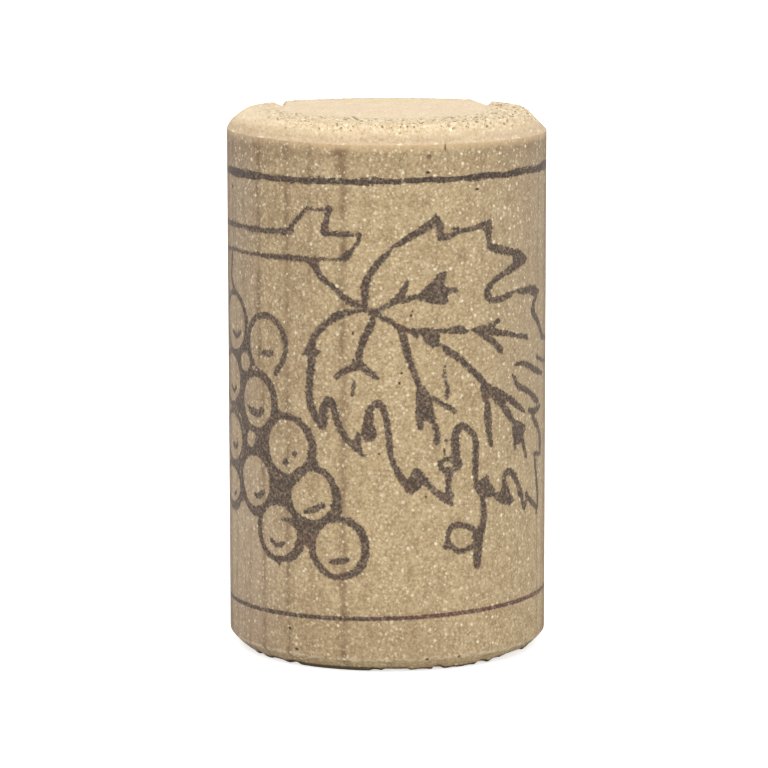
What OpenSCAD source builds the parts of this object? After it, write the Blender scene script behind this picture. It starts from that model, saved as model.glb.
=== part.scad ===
// Wine cork: a foamed stopper made in one piece, with a bevel at each end and two nicks in its top rim.
// Units are millimetres. +Z is up, and the origin is the centre of the bottom face.
// The printed side faces -Y, and the nicks are at the back, towards +Y.

/* [Stopper] */
// Diameter of the straight side
cork_d = 22.5; // [16:0.5:30]
// Length from the bottom face to the top face
cork_l = 38; // [25:1:60]

/* [Top bevel] */
// How far the top bevel runs in from the side
top_bevel_w = 1.3; // [0.8:0.1:2.5]
// How far the top bevel runs down from the top face
top_bevel_h = 1.35; // [0.8:0.05:2.5]

/* [Bottom bevel] */
// How far the bottom bevel runs in from the side
bottom_bevel_w = 1.05; // [0.3:0.05:2.5]
// How far the bottom bevel runs up from the bottom face
bottom_bevel_h = 1.05; // [0.3:0.05:2.5]

/* [Rim nicks] */
// Turn from the back of the rim to the left nick, in degrees
left_nick_angle = 49; // [10:1:70]
// Turn from the back of the rim to the right nick, in degrees
right_nick_angle = 45; // [10:1:70]
// Depth of a nick at the edge of the top face
nick_depth = 0.4; // [0.2:0.05:0.7]
// Width of a nick's steep wall, on the side of the middle
nick_inner_w = 0.35; // [0.2:0.05:0.8]
// Width of a nick's gentle wall, on the side away from the middle
nick_outer_w = 0.6; // [0.2:0.05:1]
// How far a nick runs in over the top face before it fades out
nick_run = 4.5; // [1:0.5:6]
// How far the nicks turn to the right on their way to the front, in degrees
nick_heading = 6; // [-15:1:15]

/* [Hidden] */
$fn = 96;

cork_r = cork_d / 2;
// Radius of the flat part of the top face
top_r = cork_r - top_bevel_w;
// Radius of the flat part of the bottom face
bottom_r = cork_r - bottom_bevel_w;
// The floor of a nick falls by this angle on its way out to the rim
nick_tilt = atan(nick_depth / nick_run);
// The wedge that cuts a nick is this many nick depths high, so that it clears the top face
wedge_rise = 4;

// The plain stopper, turned about the Z axis
module blank() {
    rotate_extrude()
        polygon([
            [0, 0],
            [bottom_r, 0],
            [cork_r, bottom_bevel_h],
            [cork_r, cork_l - top_bevel_h],
            [top_r, cork_l],
            [0, cork_l]
        ]);
}

// The wedge that cuts one nick through the top rim. The turn is from the back, and positive is to the right.
// Its floor falls from the top face to nick_depth at the edge of that face, and goes on out through the bevel.
module nick(turn) {
    rim_x = top_r * sin(turn);
    rim_y = top_r * cos(turn);
    outward = sign(turn);
    top_z = nick_depth * wedge_rise;
    translate([rim_x, rim_y, cork_l - nick_depth])
        rotate([-nick_tilt, 0, nick_heading])
            translate([0, cork_r - rim_y, 0])
                rotate([90, 0, 0])
                    linear_extrude(height = cork_r - rim_y + 2 * nick_run)
                        polygon([
                            [0, 0],
                            [outward * nick_outer_w * wedge_rise, top_z],
                            [-outward * nick_inner_w * wedge_rise, top_z]
                        ]);
}

module cork() {
    color("tan")
        difference() {
            blank();
            nick(-left_nick_angle);
            nick(right_nick_angle);
        }
}

cork();
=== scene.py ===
"""A foamed wine cork with a traditional grape and vine-leaf print, standing on a pale studio floor.

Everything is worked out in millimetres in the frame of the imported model: +Z up, the origin at the centre of
the bottom face, the printed side towards -Y. The cork is one closed mesh. It is made from the stopper's
profile, refined where the print, the pores and the nicks need it, and then given its relief.
"""

import logging
import math
from dataclasses import dataclass, field
from enum import Enum
from typing import Sequence

import bpy
import numpy as np
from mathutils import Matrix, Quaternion, Vector


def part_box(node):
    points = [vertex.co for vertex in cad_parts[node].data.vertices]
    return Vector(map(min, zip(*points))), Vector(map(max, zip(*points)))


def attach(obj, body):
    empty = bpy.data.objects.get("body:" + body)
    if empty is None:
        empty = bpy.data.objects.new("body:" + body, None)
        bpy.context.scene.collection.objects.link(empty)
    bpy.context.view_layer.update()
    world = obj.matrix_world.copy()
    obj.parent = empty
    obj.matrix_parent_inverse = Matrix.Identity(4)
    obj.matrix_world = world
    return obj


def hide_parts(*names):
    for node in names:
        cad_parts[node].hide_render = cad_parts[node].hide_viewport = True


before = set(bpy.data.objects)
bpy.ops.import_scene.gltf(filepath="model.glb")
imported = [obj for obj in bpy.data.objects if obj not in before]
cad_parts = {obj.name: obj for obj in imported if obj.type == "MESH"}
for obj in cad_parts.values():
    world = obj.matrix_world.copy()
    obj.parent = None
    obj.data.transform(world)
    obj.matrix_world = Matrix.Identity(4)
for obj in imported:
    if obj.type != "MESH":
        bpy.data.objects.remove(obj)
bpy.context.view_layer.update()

MM = 0.001
FAR = 9.0
TINY = 1e-9
LOG = logging.getLogger("cork")

Array = np.ndarray
Colour = tuple[float, float, float]
Point = tuple[float, float]
InkPoint = tuple[float, float, float]


def srgb(*values: int) -> Colour:
    """Linear colour of a display colour's red, green and blue, which go from 0 to 255."""
    shares = [value / 255 for value in values]
    return tuple(v / 12.92 if v <= 0.04045 else ((v + 0.055) / 1.055) ** 2.4 for v in shares)


def smooth(value: Array, low: float, high: float) -> Array:
    """Smooth step from 0 at low to 1 at high; low may be the larger one."""
    share = np.clip((value - low) / (high - low), 0.0, 1.0)
    return share * share * (3.0 - 2.0 * share)


def beside(place: Array, start: Array, end: Array) -> tuple[Array, Array]:
    """Where places lie beside a straight line.

    Args:
        place: Flat points, shape (n, 2).
        start: The line's start.
        end: The line's end.

    Returns:
        The share of the way along the line at its nearest point, and the distance to that point.
    """
    way = end - start
    share = np.clip((place - start) @ way / max(float(way @ way), TINY), 0.0, 1.0)
    offset = place - start - share[:, None] * way
    return share, np.hypot(offset[:, 0], offset[:, 1])


class Zone(Enum):
    """The finish that a part of the surface takes, in the order of the material slots."""

    SKIN = 0
    FOAM = 1


# ---------- noise

@dataclass(frozen=True)
class Noise:
    """Repeatable noise in millimetres, the same in each run.

    Attributes:
        size: Distance between two lattice points.
        seed: Number that picks the pattern.
    """

    size: float
    seed: int

    def _random(self, lattice: Array, channel: int) -> Array:
        """Random numbers from 0 to 1 for whole lattice points.

        Args:
            lattice: Whole numbers, shape (n, 3).
            channel: Picks one of several independent numbers.

        Returns:
            One number per point.
        """
        low_bits = np.uint64(0xFFFFFFFF)
        parts = lattice.astype(np.int64).astype(np.uint64) & low_bits
        mixed = parts[:, 0] * 73856093 ^ parts[:, 1] * 19349663 ^ parts[:, 2] * 83492791
        mixed ^= np.uint64(self.seed * 2654435761 + channel * 97531357)
        for shift in (15, 13, 16):
            mixed &= low_bits
            mixed ^= mixed >> np.uint64(shift)
            mixed *= np.uint64(2246822519)
        return (mixed & low_bits) / 2.0 ** 32

    def soft(self, place: Array) -> Array:
        """Smooth noise.

        Args:
            place: Points, shape (n, 3).

        Returns:
            One value from 0 to 1 per point.
        """
        scaled = place / self.size
        floor = np.floor(scaled)
        share = smooth(scaled - floor, 0.0, 1.0)
        total = np.zeros(len(place))
        for corner in np.ndindex(2, 2, 2):
            step = np.array(corner)
            weight = np.prod(np.where(step == 1, share, 1.0 - share), axis=1)
            total += weight * self._random(floor + step, 0)
        return total

    def cells(self, place: Array) -> tuple[Array, Array]:
        """Irregular round cells.

        Args:
            place: Points, shape (n, 3).

        Returns:
            The distance to the nearest cell centre, in cell sizes, and a random number of that cell.
        """
        scaled = place / self.size
        floor = np.floor(scaled)
        nearest = np.full(len(place), FAR)
        label = np.zeros(len(place))
        for step in np.ndindex(3, 3, 3):
            lattice = floor + np.array(step) - 1
            centre = lattice + np.stack([self._random(lattice, k) for k in (1, 2, 3)], axis=1)
            distance = np.linalg.norm(centre - scaled, axis=1)
            label = np.where(distance < nearest, self._random(lattice, 4), label)
            nearest = np.minimum(nearest, distance)
        return nearest, label


# ---------- print

@dataclass(frozen=True)
class Stroke:
    """A drawn line on the unrolled side.

    Attributes:
        points: Places along the line: round the side from the front, height, and the line's width there.
        smoothing: Straight pieces between two points.
    """

    points: tuple[InkPoint, ...]
    smoothing: int = 4

    def _fair(self) -> Array:
        """The points joined by a smooth curve through each of them.

        Returns:
            The curve's places and widths, shape (n, 3).
        """
        given = np.array(self.points, float)
        if len(given) < 3:
            return given
        padded = np.vstack([2 * given[0] - given[1], given, 2 * given[-1] - given[-2]])
        before, here, after, beyond = padded[:-3], padded[1:-2], padded[2:-1], padded[3:]
        parts = [0.5 * (
            2 * here + (after - before) * share
            + (2 * before - 5 * here + 4 * after - beyond) * share ** 2
            + (3 * here - before - 3 * after + beyond) * share ** 3
        ) for share in np.arange(self.smoothing) / self.smoothing]
        return np.vstack([np.stack(parts, axis=1).reshape(-1, 3), given[-1]])

    def distance(self, place: Array) -> Array:
        """Distance to the line's edge, below 0 inside it.

        Args:
            place: Flat points, shape (n, 2).

        Returns:
            One distance per point.
        """
        curve = self._fair()
        best = np.full(len(place), FAR)
        for start, end in zip(curve[:-1], curve[1:]):
            share, gap = beside(place, start[:2], end[:2])
            best = np.minimum(best, gap - (start[2] + share * (end[2] - start[2])) / 2)
        return best

    def corners(self) -> tuple[Array, Array]:
        """Lowest and highest corner of the points."""
        given = np.array(self.points)[:, :2]
        return given.min(axis=0), given.max(axis=0)


@dataclass(frozen=True)
class Patch:
    """A solid inked spot between lines.

    Attributes:
        outline: Its corners in order.
        round_over: How far the corners are rounded out.
    """

    outline: tuple[Point, ...]
    round_over: float = 0.08

    def distance(self, place: Array) -> Array:
        """Distance to the spot's edge, below 0 inside it.

        Args:
            place: Flat points, shape (n, 2).

        Returns:
            One distance per point.
        """
        corners = np.array(self.outline, float)
        best = np.full(len(place), FAR)
        inside = np.zeros(len(place), bool)
        for start, end in zip(corners, np.roll(corners, -1, axis=0)):
            best = np.minimum(best, beside(place, start, end)[1])
            across, rise = end - start
            rise = rise if abs(rise) > TINY else TINY
            crosses = (start[1] > place[:, 1]) != (end[1] > place[:, 1])
            inside ^= crosses & (place[:, 0] < start[0] + (place[:, 1] - start[1]) * across / rise)
        return np.where(inside, -best, best) - self.round_over

    def corners(self) -> tuple[Array, Array]:
        """Lowest and highest corner of the outline."""
        given = np.array(self.outline)
        return given.min(axis=0), given.max(axis=0)


@dataclass(frozen=True)
class Grape:
    """A round outline.

    Attributes:
        s: Place of its centre round the side from the front.
        z: Height of its centre.
        radius: Radius of the middle of the line.
        line: Width of the line.
        tall: Height of the round as a share of its width.
    """

    s: float
    z: float
    radius: float
    line: float = 0.47
    tall: float = 1.0

    def distance(self, place: Array) -> Array:
        """Distance to the line's edge, below 0 inside it.

        Args:
            place: Flat points, shape (n, 2).

        Returns:
            One distance per point.
        """
        across, rise = place[:, 0] - self.s, (place[:, 1] - self.z) / self.tall
        reach = np.maximum(np.hypot(across, rise), TINY)
        slope = np.hypot(across, rise / self.tall) / reach
        return np.abs(reach - self.radius) / slope - self.line / 2

    def corners(self) -> tuple[Array, Array]:
        """Lowest and highest corner of the round."""
        centre = np.array([self.s, self.z])
        return centre - self.radius, centre + self.radius


Mark = Stroke | Patch | Grape


def line(*points: InkPoint) -> Stroke:
    """A smooth line through points of place, height and width."""
    return Stroke(points)


def spot(*outline: Point) -> Patch:
    """A solid spot with the given corners."""
    return Patch(outline)


def dot(s: float, z: float, radius: float) -> Stroke:
    """A round dot."""
    return Stroke(((s, z, 2 * radius), (s + 0.02, z, 2 * radius)))


class VinePrint:
    """The grape bunch, twig, leaf and tendril, a common vintner's ornament drawn in plain strokes.

    Each method gives the marks of one part, in millimetres on the unrolled side: the place round the side
    from the front, positive to the right, the height above the bottom face and the width of the line.
    """

    REACH = 0.6
    MARGIN = 1.2

    def twig(self) -> list[Mark]:
        """The twig with its stub at the right and its cut end at the left."""
        return [
            line((-24, 30.1, .35), (-20, 30.2, .35), (-16, 30.35, .4), (-13, 30.4, .4), (-12.2, 30.4, .3),
                 (-11, 30.4, .45), (-9.6, 30.4, .35), (-7.5, 30.5, .55), (-7, 30.65, .5)),
            line((-7, 30.6, .5), (-6.8, 31.1, .4), (-5.7, 32.2, .35)),
            line((-5.7, 32.25, .3), (-5, 32.15, .2), (-4.4, 32.2, .25)),
            line((-4.08, 32.17, .7), (-4.17, 31.7, .4), (-4.3, 31.2, .55), (-4.32, 30.67, .68)),
            line((-4.3, 30.6, .5), (-3.6, 30.55, .35), (-2.5, 30.55, .38), (-2.3, 30.55, .15),
                 (-1.85, 30.5, .3)),
            line((-1.9, 30.6, .3), (-1.95, 30.1, .3), (-2.2, 29.75, .27), (-2.5, 29.4, .42),
                 (-2.78, 29.02, .6), (-3.2, 28.83, .25)),
            line((-3.2, 28.8, .25), (-4, 28.82, .22), (-4.6, 28.8, .3), (-5.2, 28.65, .5), (-7, 28.73, .42),
                 (-9.6, 28.65, .35), (-10.3, 28.72, .3), (-11, 28.65, .22), (-14, 28.65, .3),
                 (-16, 28.5, .3), (-20, 28.3, .3), (-24, 28.2, .3)),
            line((-24, 30.1, .35), (-24.6, 29.2, .35), (-24, 28.2, .3)),
        ]

    def stalks(self) -> list[Mark]:
        """The stalk of the bunch and the stalk of the leaf."""
        return [
            line((-14.45, 28.5, .35), (-14.5, 27.9, .5), (-14.6, 27.5, .55), (-14.75, 27.1, .38),
                 (-14.75, 26.6, .42), (-14.35, 26.1, .5), (-14, 25.85, .4)),
            line((-16.4, 28.4, .35), (-16.3, 27.2, .35), (-16.6, 26.6, .35)),
            line((-5.25, 28.55, .7), (-4.95, 28.05, .55), (-4.5, 27.45, .5), (-4.1, 27.15, .42),
                 (-3.7, 26.85, .38), (-3.2, 26.42, .42), (-2.6, 25.97, .5), (-2, 25.65, .5),
                 (-1.4, 25.4, .5), (-.8, 25.2, .6)), line((-2.3, 26, .25), (-1.8, 26, .25)),
        ]

    def leaf_top(self) -> list[Mark]:
        """The upper edge of the leaf, from the stalk to the tip at the right."""
        return [
            line((-1.5, 25.9, .5), (-1.5, 26.6, .62), (-1.43, 27.2, .62), (-1.2, 27.8, .52),
                 (-.8, 28.4, .56), (-.3, 28.95, .48), (0, 29.2, .42), (.4, 29.72, .12), (.6, 29.8, .25),
                 (1, 30.02, .42), (2, 30.65, .56), (3, 31.2, .62), (3.35, 31.4, .77)),
            line((3.3, 31.4, .5), (3.37, 31.92, .2)),
            line((3.42, 31.5, .65), (3.68, 31.05, .6), (3.72, 30.5, .62)),
            line((3.75, 30.3, .55), (4.2, 30.33, .5), (4.7, 30.45, .32), (5.2, 30.68, .4), (6, 30.77, .42),
                 (7, 30.95, .47), (7.55, 31.02, .6)), line((4.5, 30.87, .14), (5.1, 30.83, .25)),
            line((7.6, 31, .5), (7.7, 31.22, .22)), spot((6.95, 30.85), (7.35, 30.3), (7.4, 30.9)),
            line((7.55, 31, .55), (7.55, 30.5, .62), (7.55, 30, .5), (7.55, 29.6, .4)),
            line((7.57, 29.5, .5), (7.9, 29.35, .66), (8.5, 29.17, .62), (9.3, 28.97, .6), (10, 28.8, .5),
                 (10.6, 28.65, .6), (11.5, 28.22, .4)),
            spot((9.9, 28.8), (10.4, 28.98), (11.6, 28.15), (11.35, 27.92), (10.4, 27.8), (10, 28.1)),
            line((11.2, 28.05, .4), (10.3, 27.87, .6), (9.6, 27.67, .6), (9, 27.48, .5), (8.35, 27.2, .45),
                 (7.83, 26.87, .47), (7.48, 26.5, .58), (7.4, 26.1, .63), (7.72, 25.77, .52)),
            line((7.72, 25.76, .5), (8.3, 25.71, .5), (9, 25.77, .47), (9.7, 25.95, .45), (10.2, 26.1, .2),
                 (10.6, 26.07, .38), (11, 26.02, .5), (12, 25.98, .55), (12.6, 25.88, .55),
                 (13.3, 25.75, .5), (13.8, 25.68, .33)),
            spot((12, 26.27), (13, 26.13), (13.75, 25.7), (13.2, 25.38), (12.5, 25.62), (12, 25.8)),
            line((13.25, 25.35, .5), (12.9, 25.05, .5), (12.7, 24.75, .6), (12.73, 24.35, .66),
                 (13.25, 23.85, .55), (13.85, 23.35, .5), (14.4, 22.8, .5), (14.8, 22.35, .5),
                 (16, 22.1, .35), (17, 21.9, .3)),
            line((17, 21.9, .3), (16.9, 21, .3), (16.2, 20.5, .35), (15, 20.6, .3), (14.3, 20.8, .35),
                 (13.5, 21.08, .35)),
        ]

    def leaf_right(self) -> list[Mark]:
        """The lobes at the right of the leaf."""
        return [
            line((10.2, 20.95, .2), (10.7, 20.98, .32), (11.2, 20.92, .38), (12.1, 20.67, .42),
                 (12.7, 20.38, .5), (13.3, 20.17, .52), (14, 19.92, .45), (14.8, 19.75, .35)),
            line((9.97, 20.3, .22), (10.35, 19.68, .42), (10.85, 19.3, .5), (11.5, 19.05, .45),
                 (12.2, 18.75, .42), (12.6, 18.5, .5), (13, 18.25, .6), (13.5, 17.98, .5),
                 (13.85, 17.85, .35)),
            line((12.1, 17.5, .35), (12.7, 17.35, .55), (13.2, 17.3, .55), (14.2, 17.5, .35)),
            line((12.75, 16.95, .45), (13.1, 16.6, .55), (13.6, 16.2, .5), (14, 15.75, .45),
                 (14.27, 15.3, .6), (14.3, 14.7, .6), (14.4, 14.1, .4)),
            line((14.4, 14.1, .35), (14, 14.1, .3), (13.1, 14.3, .35)),
            line((13.07, 14.2, .37), (13.22, 13.6, .43), (13.42, 12.8, .4), (13.57, 12.2, .4),
                 (13.75, 11.4, .44), (13.78, 10.6, .43), (13.5, 10, .3)),
        ]

    def leaf_bottom(self) -> list[Mark]:
        """The lower edge of the leaf, from the right to the left."""
        return [
            line((13.6, 10.35, .42), (12.8, 10.8, .42), (12.2, 11.2, .4), (11.75, 11.6, .45)),
            line((11.05, 11.7, .45), (11.25, 11.1, .4), (11.45, 10.6, .35)),
            line((11.75, 11.6, .38), (11.67, 11, .32), (11.5, 10.6, .35)),
            line((11.15, 11.6, .45), (10.93, 11.85, .6), (10.6, 12.5, .48), (10.2, 13.1, .5),
                 (9.8, 13.47, .5), (9.35, 13.53, .5), (9.08, 13.3, .45), (9.02, 12.8, .45),
                 (9.15, 12.2, .5)),
            spot((8, 12.3), (8.6, 12.1), (9.3, 12.85), (9.6, 12.1), (10.1, 11.4), (9.6, 11.2), (8.9, 11.4),
                 (8.2, 11.8)),
            spot((6.25, 13.05), (6.9, 13.15), (7.1, 13.45), (7.55, 13.3), (7.65, 13), (8.2, 12.35),
                 (8, 12.02), (7.3, 12), (6.9, 12.05), (6.55, 12.55)), dot(7.33, 13.3, .28),
            line((6.65, 12.9, .5), (6.47, 13.4, .45), (6.45, 14.2, .55), (6.45, 15.8, .55), (6.3, 16.4, .5),
                 (6, 16.82, .5), (5.6, 17.1, .5), (5.25, 17.17, .57), (4.93, 16.8, .65), (4.82, 16, .7),
                 (4.9, 15, .7)),
            line((3.75, 14.75, .45), (4.2, 14.98, .35), (4.9, 14.8, .7), (5.12, 14.45, .5),
                 (4.6, 14.22, .45), (3.95, 14.25, .45), (3.7, 14.55, .45)),
            line((4.35, 14, .75), (4.35, 13.5, .5), (4.3, 13, .44), (4.4, 12.35, .7)),
            line((4.02, 15.1, .15), (4, 15.7, .18)), dot(4.12, 16.25, .13),
            line((1.7, 13.1, .4), (1.75, 12.8, .2)), line((1.8, 13.3, .5), (2.1, 14, .5), (2.1, 14.35, .2)),
            line((2.4, 13.75, .5), (2.95, 13.12, .45), (3.5, 12.67, .5), (4.1, 12.2, .62),
                 (4.6, 11.8, .25)),
            spot((1.15, 13.4), (1.6, 13.85), (1.9, 14.35), (2.25, 14.3), (2.5, 14), (3, 13.35), (2.4, 13.3),
                 (2, 12.85), (1.6, 12.65), (1.4, 12.8)),
            line((-.03, 17.8, .45), (.07, 17, .45), (.17, 16.2, .47), (.25, 15.4, .42), (.5, 14.7, .45),
                 (.82, 14, .5), (1.15, 13.5, .55), (1.5, 13.15, .6)),
            line((-1.26, 16.86, 1.1), (-1.3, 17.5, .78), (-1.2, 18.3, .62), (-1, 18.78, .55),
                 (-.68, 18.99, .56), (-.37, 18.77, .5), (-.17, 18.3, .47), (-.05, 17.8, .45)),
        ]

    def leaf_left(self) -> list[Mark]:
        """The left edge of the leaf, from the bottom up to the stalk."""
        return [
            line((-3.62, 18.2, .6), (-3.47, 17.6, .57), (-3.17, 17, .53), (-2.87, 16.5, .5),
                 (-2.6, 16.2, .4), (-2.1, 15.8, .4), (-1.8, 15.4, .25), (-1.4, 15.3, .15)),
            spot((-2.6, 16.2), (-2.15, 16.55), (-2.05, 16.9), (-1.85, 16.7), (-1.75, 15.3), (-2.3, 15.8)),
            line((-4.6, 17.38, .8), (-4.52, 17.9, .78), (-4.43, 18.6, .68), (-4.17, 19.07, .55),
                 (-3.83, 18.87, .58), (-3.62, 18.2, .6)),
            line((-1.9, 25.35, .35), (-2.5, 25.25, .38), (-3.1, 25.1, .55), (-3.6, 24.85, .57),
                 (-4.3, 24.35, .52), (-5, 23.6, .55), (-5.4, 22.8, .6), (-5.37, 21.8, .66),
                 (-5.47, 21, .64), (-5.53, 20, .58), (-5.58, 19.3, .6), (-5.38, 18.5, .56),
                 (-5.08, 17.9, .6), (-4.7, 17.35, .65)),
            spot((-6.05, 22.15), (-5.5, 22.9), (-5.2, 22.6), (-4.65, 22.45), (-5.1, 22.05)),
        ]

    def vein_up(self) -> list[Mark]:
        """The vein to the upper right with its arrow-shaped end."""
        return [
            line((-.6, 25.25, .4), (-.35, 25.55, .32), (.05, 25.72, .42), (.5, 26, .5), (1, 26.25, .6)),
            line((1, 26.15, .5), (1.2, 26.1, .55), (1.8, 26.25, .37), (2.4, 26.3, .35)),
            line((.75, 26.2, .5), (1.08, 26.6, .55), (1.4, 27.4, .25)),
            spot((2.2, 26.4), (2.7, 26.9), (3.1, 27.25), (3.75, 27.87), (4.05, 27.93), (4.13, 27.7),
                 (3.87, 27.1), (4.15, 26.78), (4.15, 26.4), (4.2, 25.75), (3.2, 25.8), (2.7, 26),
                 (2.3, 26.1)), line((4.2, 26.64, .45), (4.8, 26.64, .42)),
        ]

    def vein_across(self) -> list[Mark]:
        """The vein to the right with its two side branches."""
        return [
            line((-.4, 24.9, .4), (.2, 24.66, .42), (.7, 24.32, .45), (1.2, 24, .5)),
            line((1.2, 24, .45), (1.5, 24, .35), (2, 23.95, .35), (3, 23.95, .35), (4, 23.87, .35),
                 (4.4, 23.87, .42), (4.9, 23.88, .6), (5.35, 23.85, .6), (5.75, 23.77, .2), (6.1, 23.8, .2),
                 (6.6, 23.78, .5), (7.2, 23.75, .62), (8.2, 23.45, .5), (9, 23.32, .44), (9.8, 23.15, .38),
                 (10.6, 22.95, .35), (11.75, 22.72, .38)),
            line((7.3, 23.92, .42), (7.9, 24, .4), (8.4, 24.23, .44)),
            line((6.8, 23.5, .4), (7.5, 23.1, .5), (8.1, 22.7, .5), (8.7, 22.15, .55)),
            spot((1.5, 23.9), (2.05, 23.45), (2.35, 23.85)),
        ]

    def vein_main(self) -> list[Mark]:
        """The vein to the lower right, which forks twice."""
        return [
            spot((2.2, 23.93), (3.65, 23.93), (3.6, 23.1), (3.25, 22.77), (2.75, 23.1), (2.45, 23.55)),
            line((3.3, 22.95, .4), (3.9, 22.82, .3), (4.3, 22.42, .55), (4.95, 22.03, .5), (5.5, 21.52, .5),
                 (6.13, 20.98, .5), (6.75, 20.43, .5), (7.2, 19.97, .5)),
            line((7.1, 19.9, .55), (7.17, 19.2, .55), (7.43, 18.5, .52), (7.5, 17.8, .66), (7.55, 17, .62),
                 (7.65, 16.3, .5), (7.83, 15.6, .3)),
            line((7.2, 19.85, .5), (7.85, 19.52, .5), (8.5, 19.28, .5), (9.15, 18.92, .45),
                 (9.8, 18.5, .55), (10.4, 18.12, .5), (11, 17.77, .42), (11.42, 17.5, .3)),
            spot((7.3, 19.6), (7.9, 19.55), (7.6, 18.95), (7.4, 18.8)),
            line((8, 19.03, .52), (8.45, 18.67, .55), (8.95, 18.15, .52), (9.42, 17.67, .68),
                 (9.85, 17.22, .5)), spot((8, 19.6), (9.2, 19), (9.35, 18.6), (9, 18.2), (8.2, 18.75)),
            spot((9.95, 17.13), (10.3, 17.05), (11, 16.77), (11.5, 16.48), (11.6, 16.3), (11.25, 16.05),
                 (11.12, 15.6), (10.95, 15.42), (10.4, 15.35), (10.1, 15.75), (9.97, 16.4)),
            line((10.2, 15.4, .3), (10.3, 15.1, .3)),
            line((11.1, 15.9, .42), (11.3, 15.2, .44), (11.7, 14.3, .37)),
        ]

    def vein_down(self) -> list[Mark]:
        """The vein straight down with its split foot, and the thin one beside it."""
        return [
            line((1, 23.9, .5), (1.2, 23.2, .58), (1.43, 22.3, .52), (1.68, 21.5, .48), (1.97, 20.8, .48),
                 (2.22, 20.1, .5)), line((2.3, 20.05, .25), (2.6, 20.02, .2)),
            spot((2.05, 20), (2.55, 19.87), (2.85, 19.6), (3.1, 19.25), (3.08, 18.8), (3.22, 18.1),
                 (3, 17.6), (2.6, 17.8), (2.05, 18)), line((2.22, 17.9, .54), (2.3, 17.32, .54)),
            line((3.1, 17.9, .42), (3.3, 17.4, .42), (3.47, 16.9, .45), (3.47, 16.25, .5)),
            line((3.2, 19.25, .35), (3.9, 18.82, .38), (4.4, 18.5, .42), (4.8, 18.24, .35)),
            line((4.05, 21.5, .12), (4, 20.9, .28), (4.12, 20.3, .25), (4.27, 19.9, .27), (4.2, 19.25, .3)),
        ]

    def vein_left(self) -> list[Mark]:
        """The vein to the lower left with its two arms."""
        return [
            line((-.92, 25, .35), (-1.05, 24.5, .5), (-1.37, 23.8, .6), (-1.6, 23.3, .58),
                 (-1.87, 22.6, .48), (-1.95, 21.9, .5), (-2.2, 21.5, .55)),
            spot((-2.35, 21.87), (-1.75, 21.9), (-1.55, 21.35), (-2.6, 21.15)),
            line((-2.4, 21.4, .45), (-2.95, 21.15, .45), (-3.5, 20.75, .47)),
            line((-1.85, 21.7, .45), (-1.42, 21.3, .48), (-.95, 20.92, .42), (-.62, 20.73, .25)),
            line((-2.35, 20.65, .15), (-2.3, 20.2, .28), (-2.4, 19.5, .2)),
        ]

    def tendril(self) -> list[Mark]:
        """The tendril under the leaf with its loop."""
        return [
            line((6.98, 12.2, .42), (7.12, 11.6, .5), (7.17, 11, .52), (7.12, 10.3, .58), (7, 9.95, .68),
                 (6.83, 9.6, .78), (6.72, 9.2, .8), (6.67, 8.5, .76), (6.6, 7.9, .74), (6.57, 7.35, .65)),
            line((6.6, 9.75, .35), (6.05, 9.98, .45), (5.5, 10.22, .48), (5, 10.32, .48),
                 (4.45, 10.07, .48), (4.27, 9.5, .42), (4.3, 9, .5), (4.65, 8.75, .42), (5.1, 8.45, .4),
                 (5.7, 8.52, .4), (6.2, 8.75, .42), (6.5, 8.95, .5)), line((6.4, 9.9, .3), (6.3, 9.3, .3)),
            dot(4.08, 8.8, .2),
        ]

    def grapes(self) -> list[Mark]:
        """The outlines of the grapes, thicker where they press on each other."""
        return [
            Grape(-13.97, 23.5, 2.12, .43), Grape(-14.7, 19.5, 2.0, tall=.96),
            Grape(-10.55, 18.33, 1.9, .5, tall=1.06), Grape(-14.4, 15.35, 1.95, tall=.95),
            Grape(-10.8, 12.73, 1.95, tall=1.03), Grape(-14.8, 11.9, 1.97, tall=.74),
            Grape(-5.45, 12.35, 1.85, tall=1.05), Grape(-8.32, 9.57, 1.93, tall=1.05),
            Grape(-7.43, 15.58, 1.97, tall=1.06), Grape(-3.45, 8.8, 1.9, tall=1.07),
            Grape(-17.9, 25.4, 2.0), Grape(-18.3, 21.8, 2.0), Grape(-18.6, 17.6, 2.0),
            Grape(-18.3, 13.8, 2.0), Grape(-22, 23.7, 2.0), Grape(-22.2, 19.8, 2.0), Grape(-22.3, 16, 2.0),
            self.open_grape(), line((-8.2, 20.97, .48), (-8.45, 20.6, .45)),
            line((-9.65, 20.2, .6), (-9.1, 19.8, .62), (-8.7, 19.1, .6), (-8.6, 18.4, .66),
                 (-8.7, 17.55, .6), (-9.3, 16.9, .45)),
            line((-12.65, 12.6, .55), (-12.45, 11.9, .6), (-12.1, 11.35, .5), (-11.4, 10.7, .5),
                 (-10.7, 10.45, .5)),
            line((-15.2, 10.35, .45), (-14.3, 10.27, .5), (-13.5, 10.6, .5), (-13.05, 11.05, .5)),
            line((-5.5, 14.7, .5), (-5.32, 15.4, .66), (-5.4, 16.2, .55), (-5.77, 16.93, .52),
                 (-6.4, 17.47, .5)),
            line((-5, 14.25, .52), (-4.3, 13.93, .52), (-3.8, 13.25, .57), (-3.55, 12.6, .68),
                 (-3.55, 11.9, .72), (-3.7, 11.3, .6)),
            line((-5.35, 9.6, .5), (-5.42, 8.9, .6), (-5.3, 8.1, .55), (-4.75, 7.33, .52),
                 (-4.2, 6.92, .48)),
            line((-2.6, 6.93, .48), (-2, 7.33, .56), (-1.6, 7.9, .52), (-1.47, 8.8, .57), (-1.62, 9.7, .5),
                 (-2.1, 10.4, .5), (-2.7, 10.77, .45)),
            line((-7.5, 7.62, .5), (-6.9, 7.95, .55), (-6.4, 8.5, .57), (-6.2, 9.2, .57)),
            line((-8.4, 7.45, .4), (-8.2, 7.2, .25)),
        ]

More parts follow.
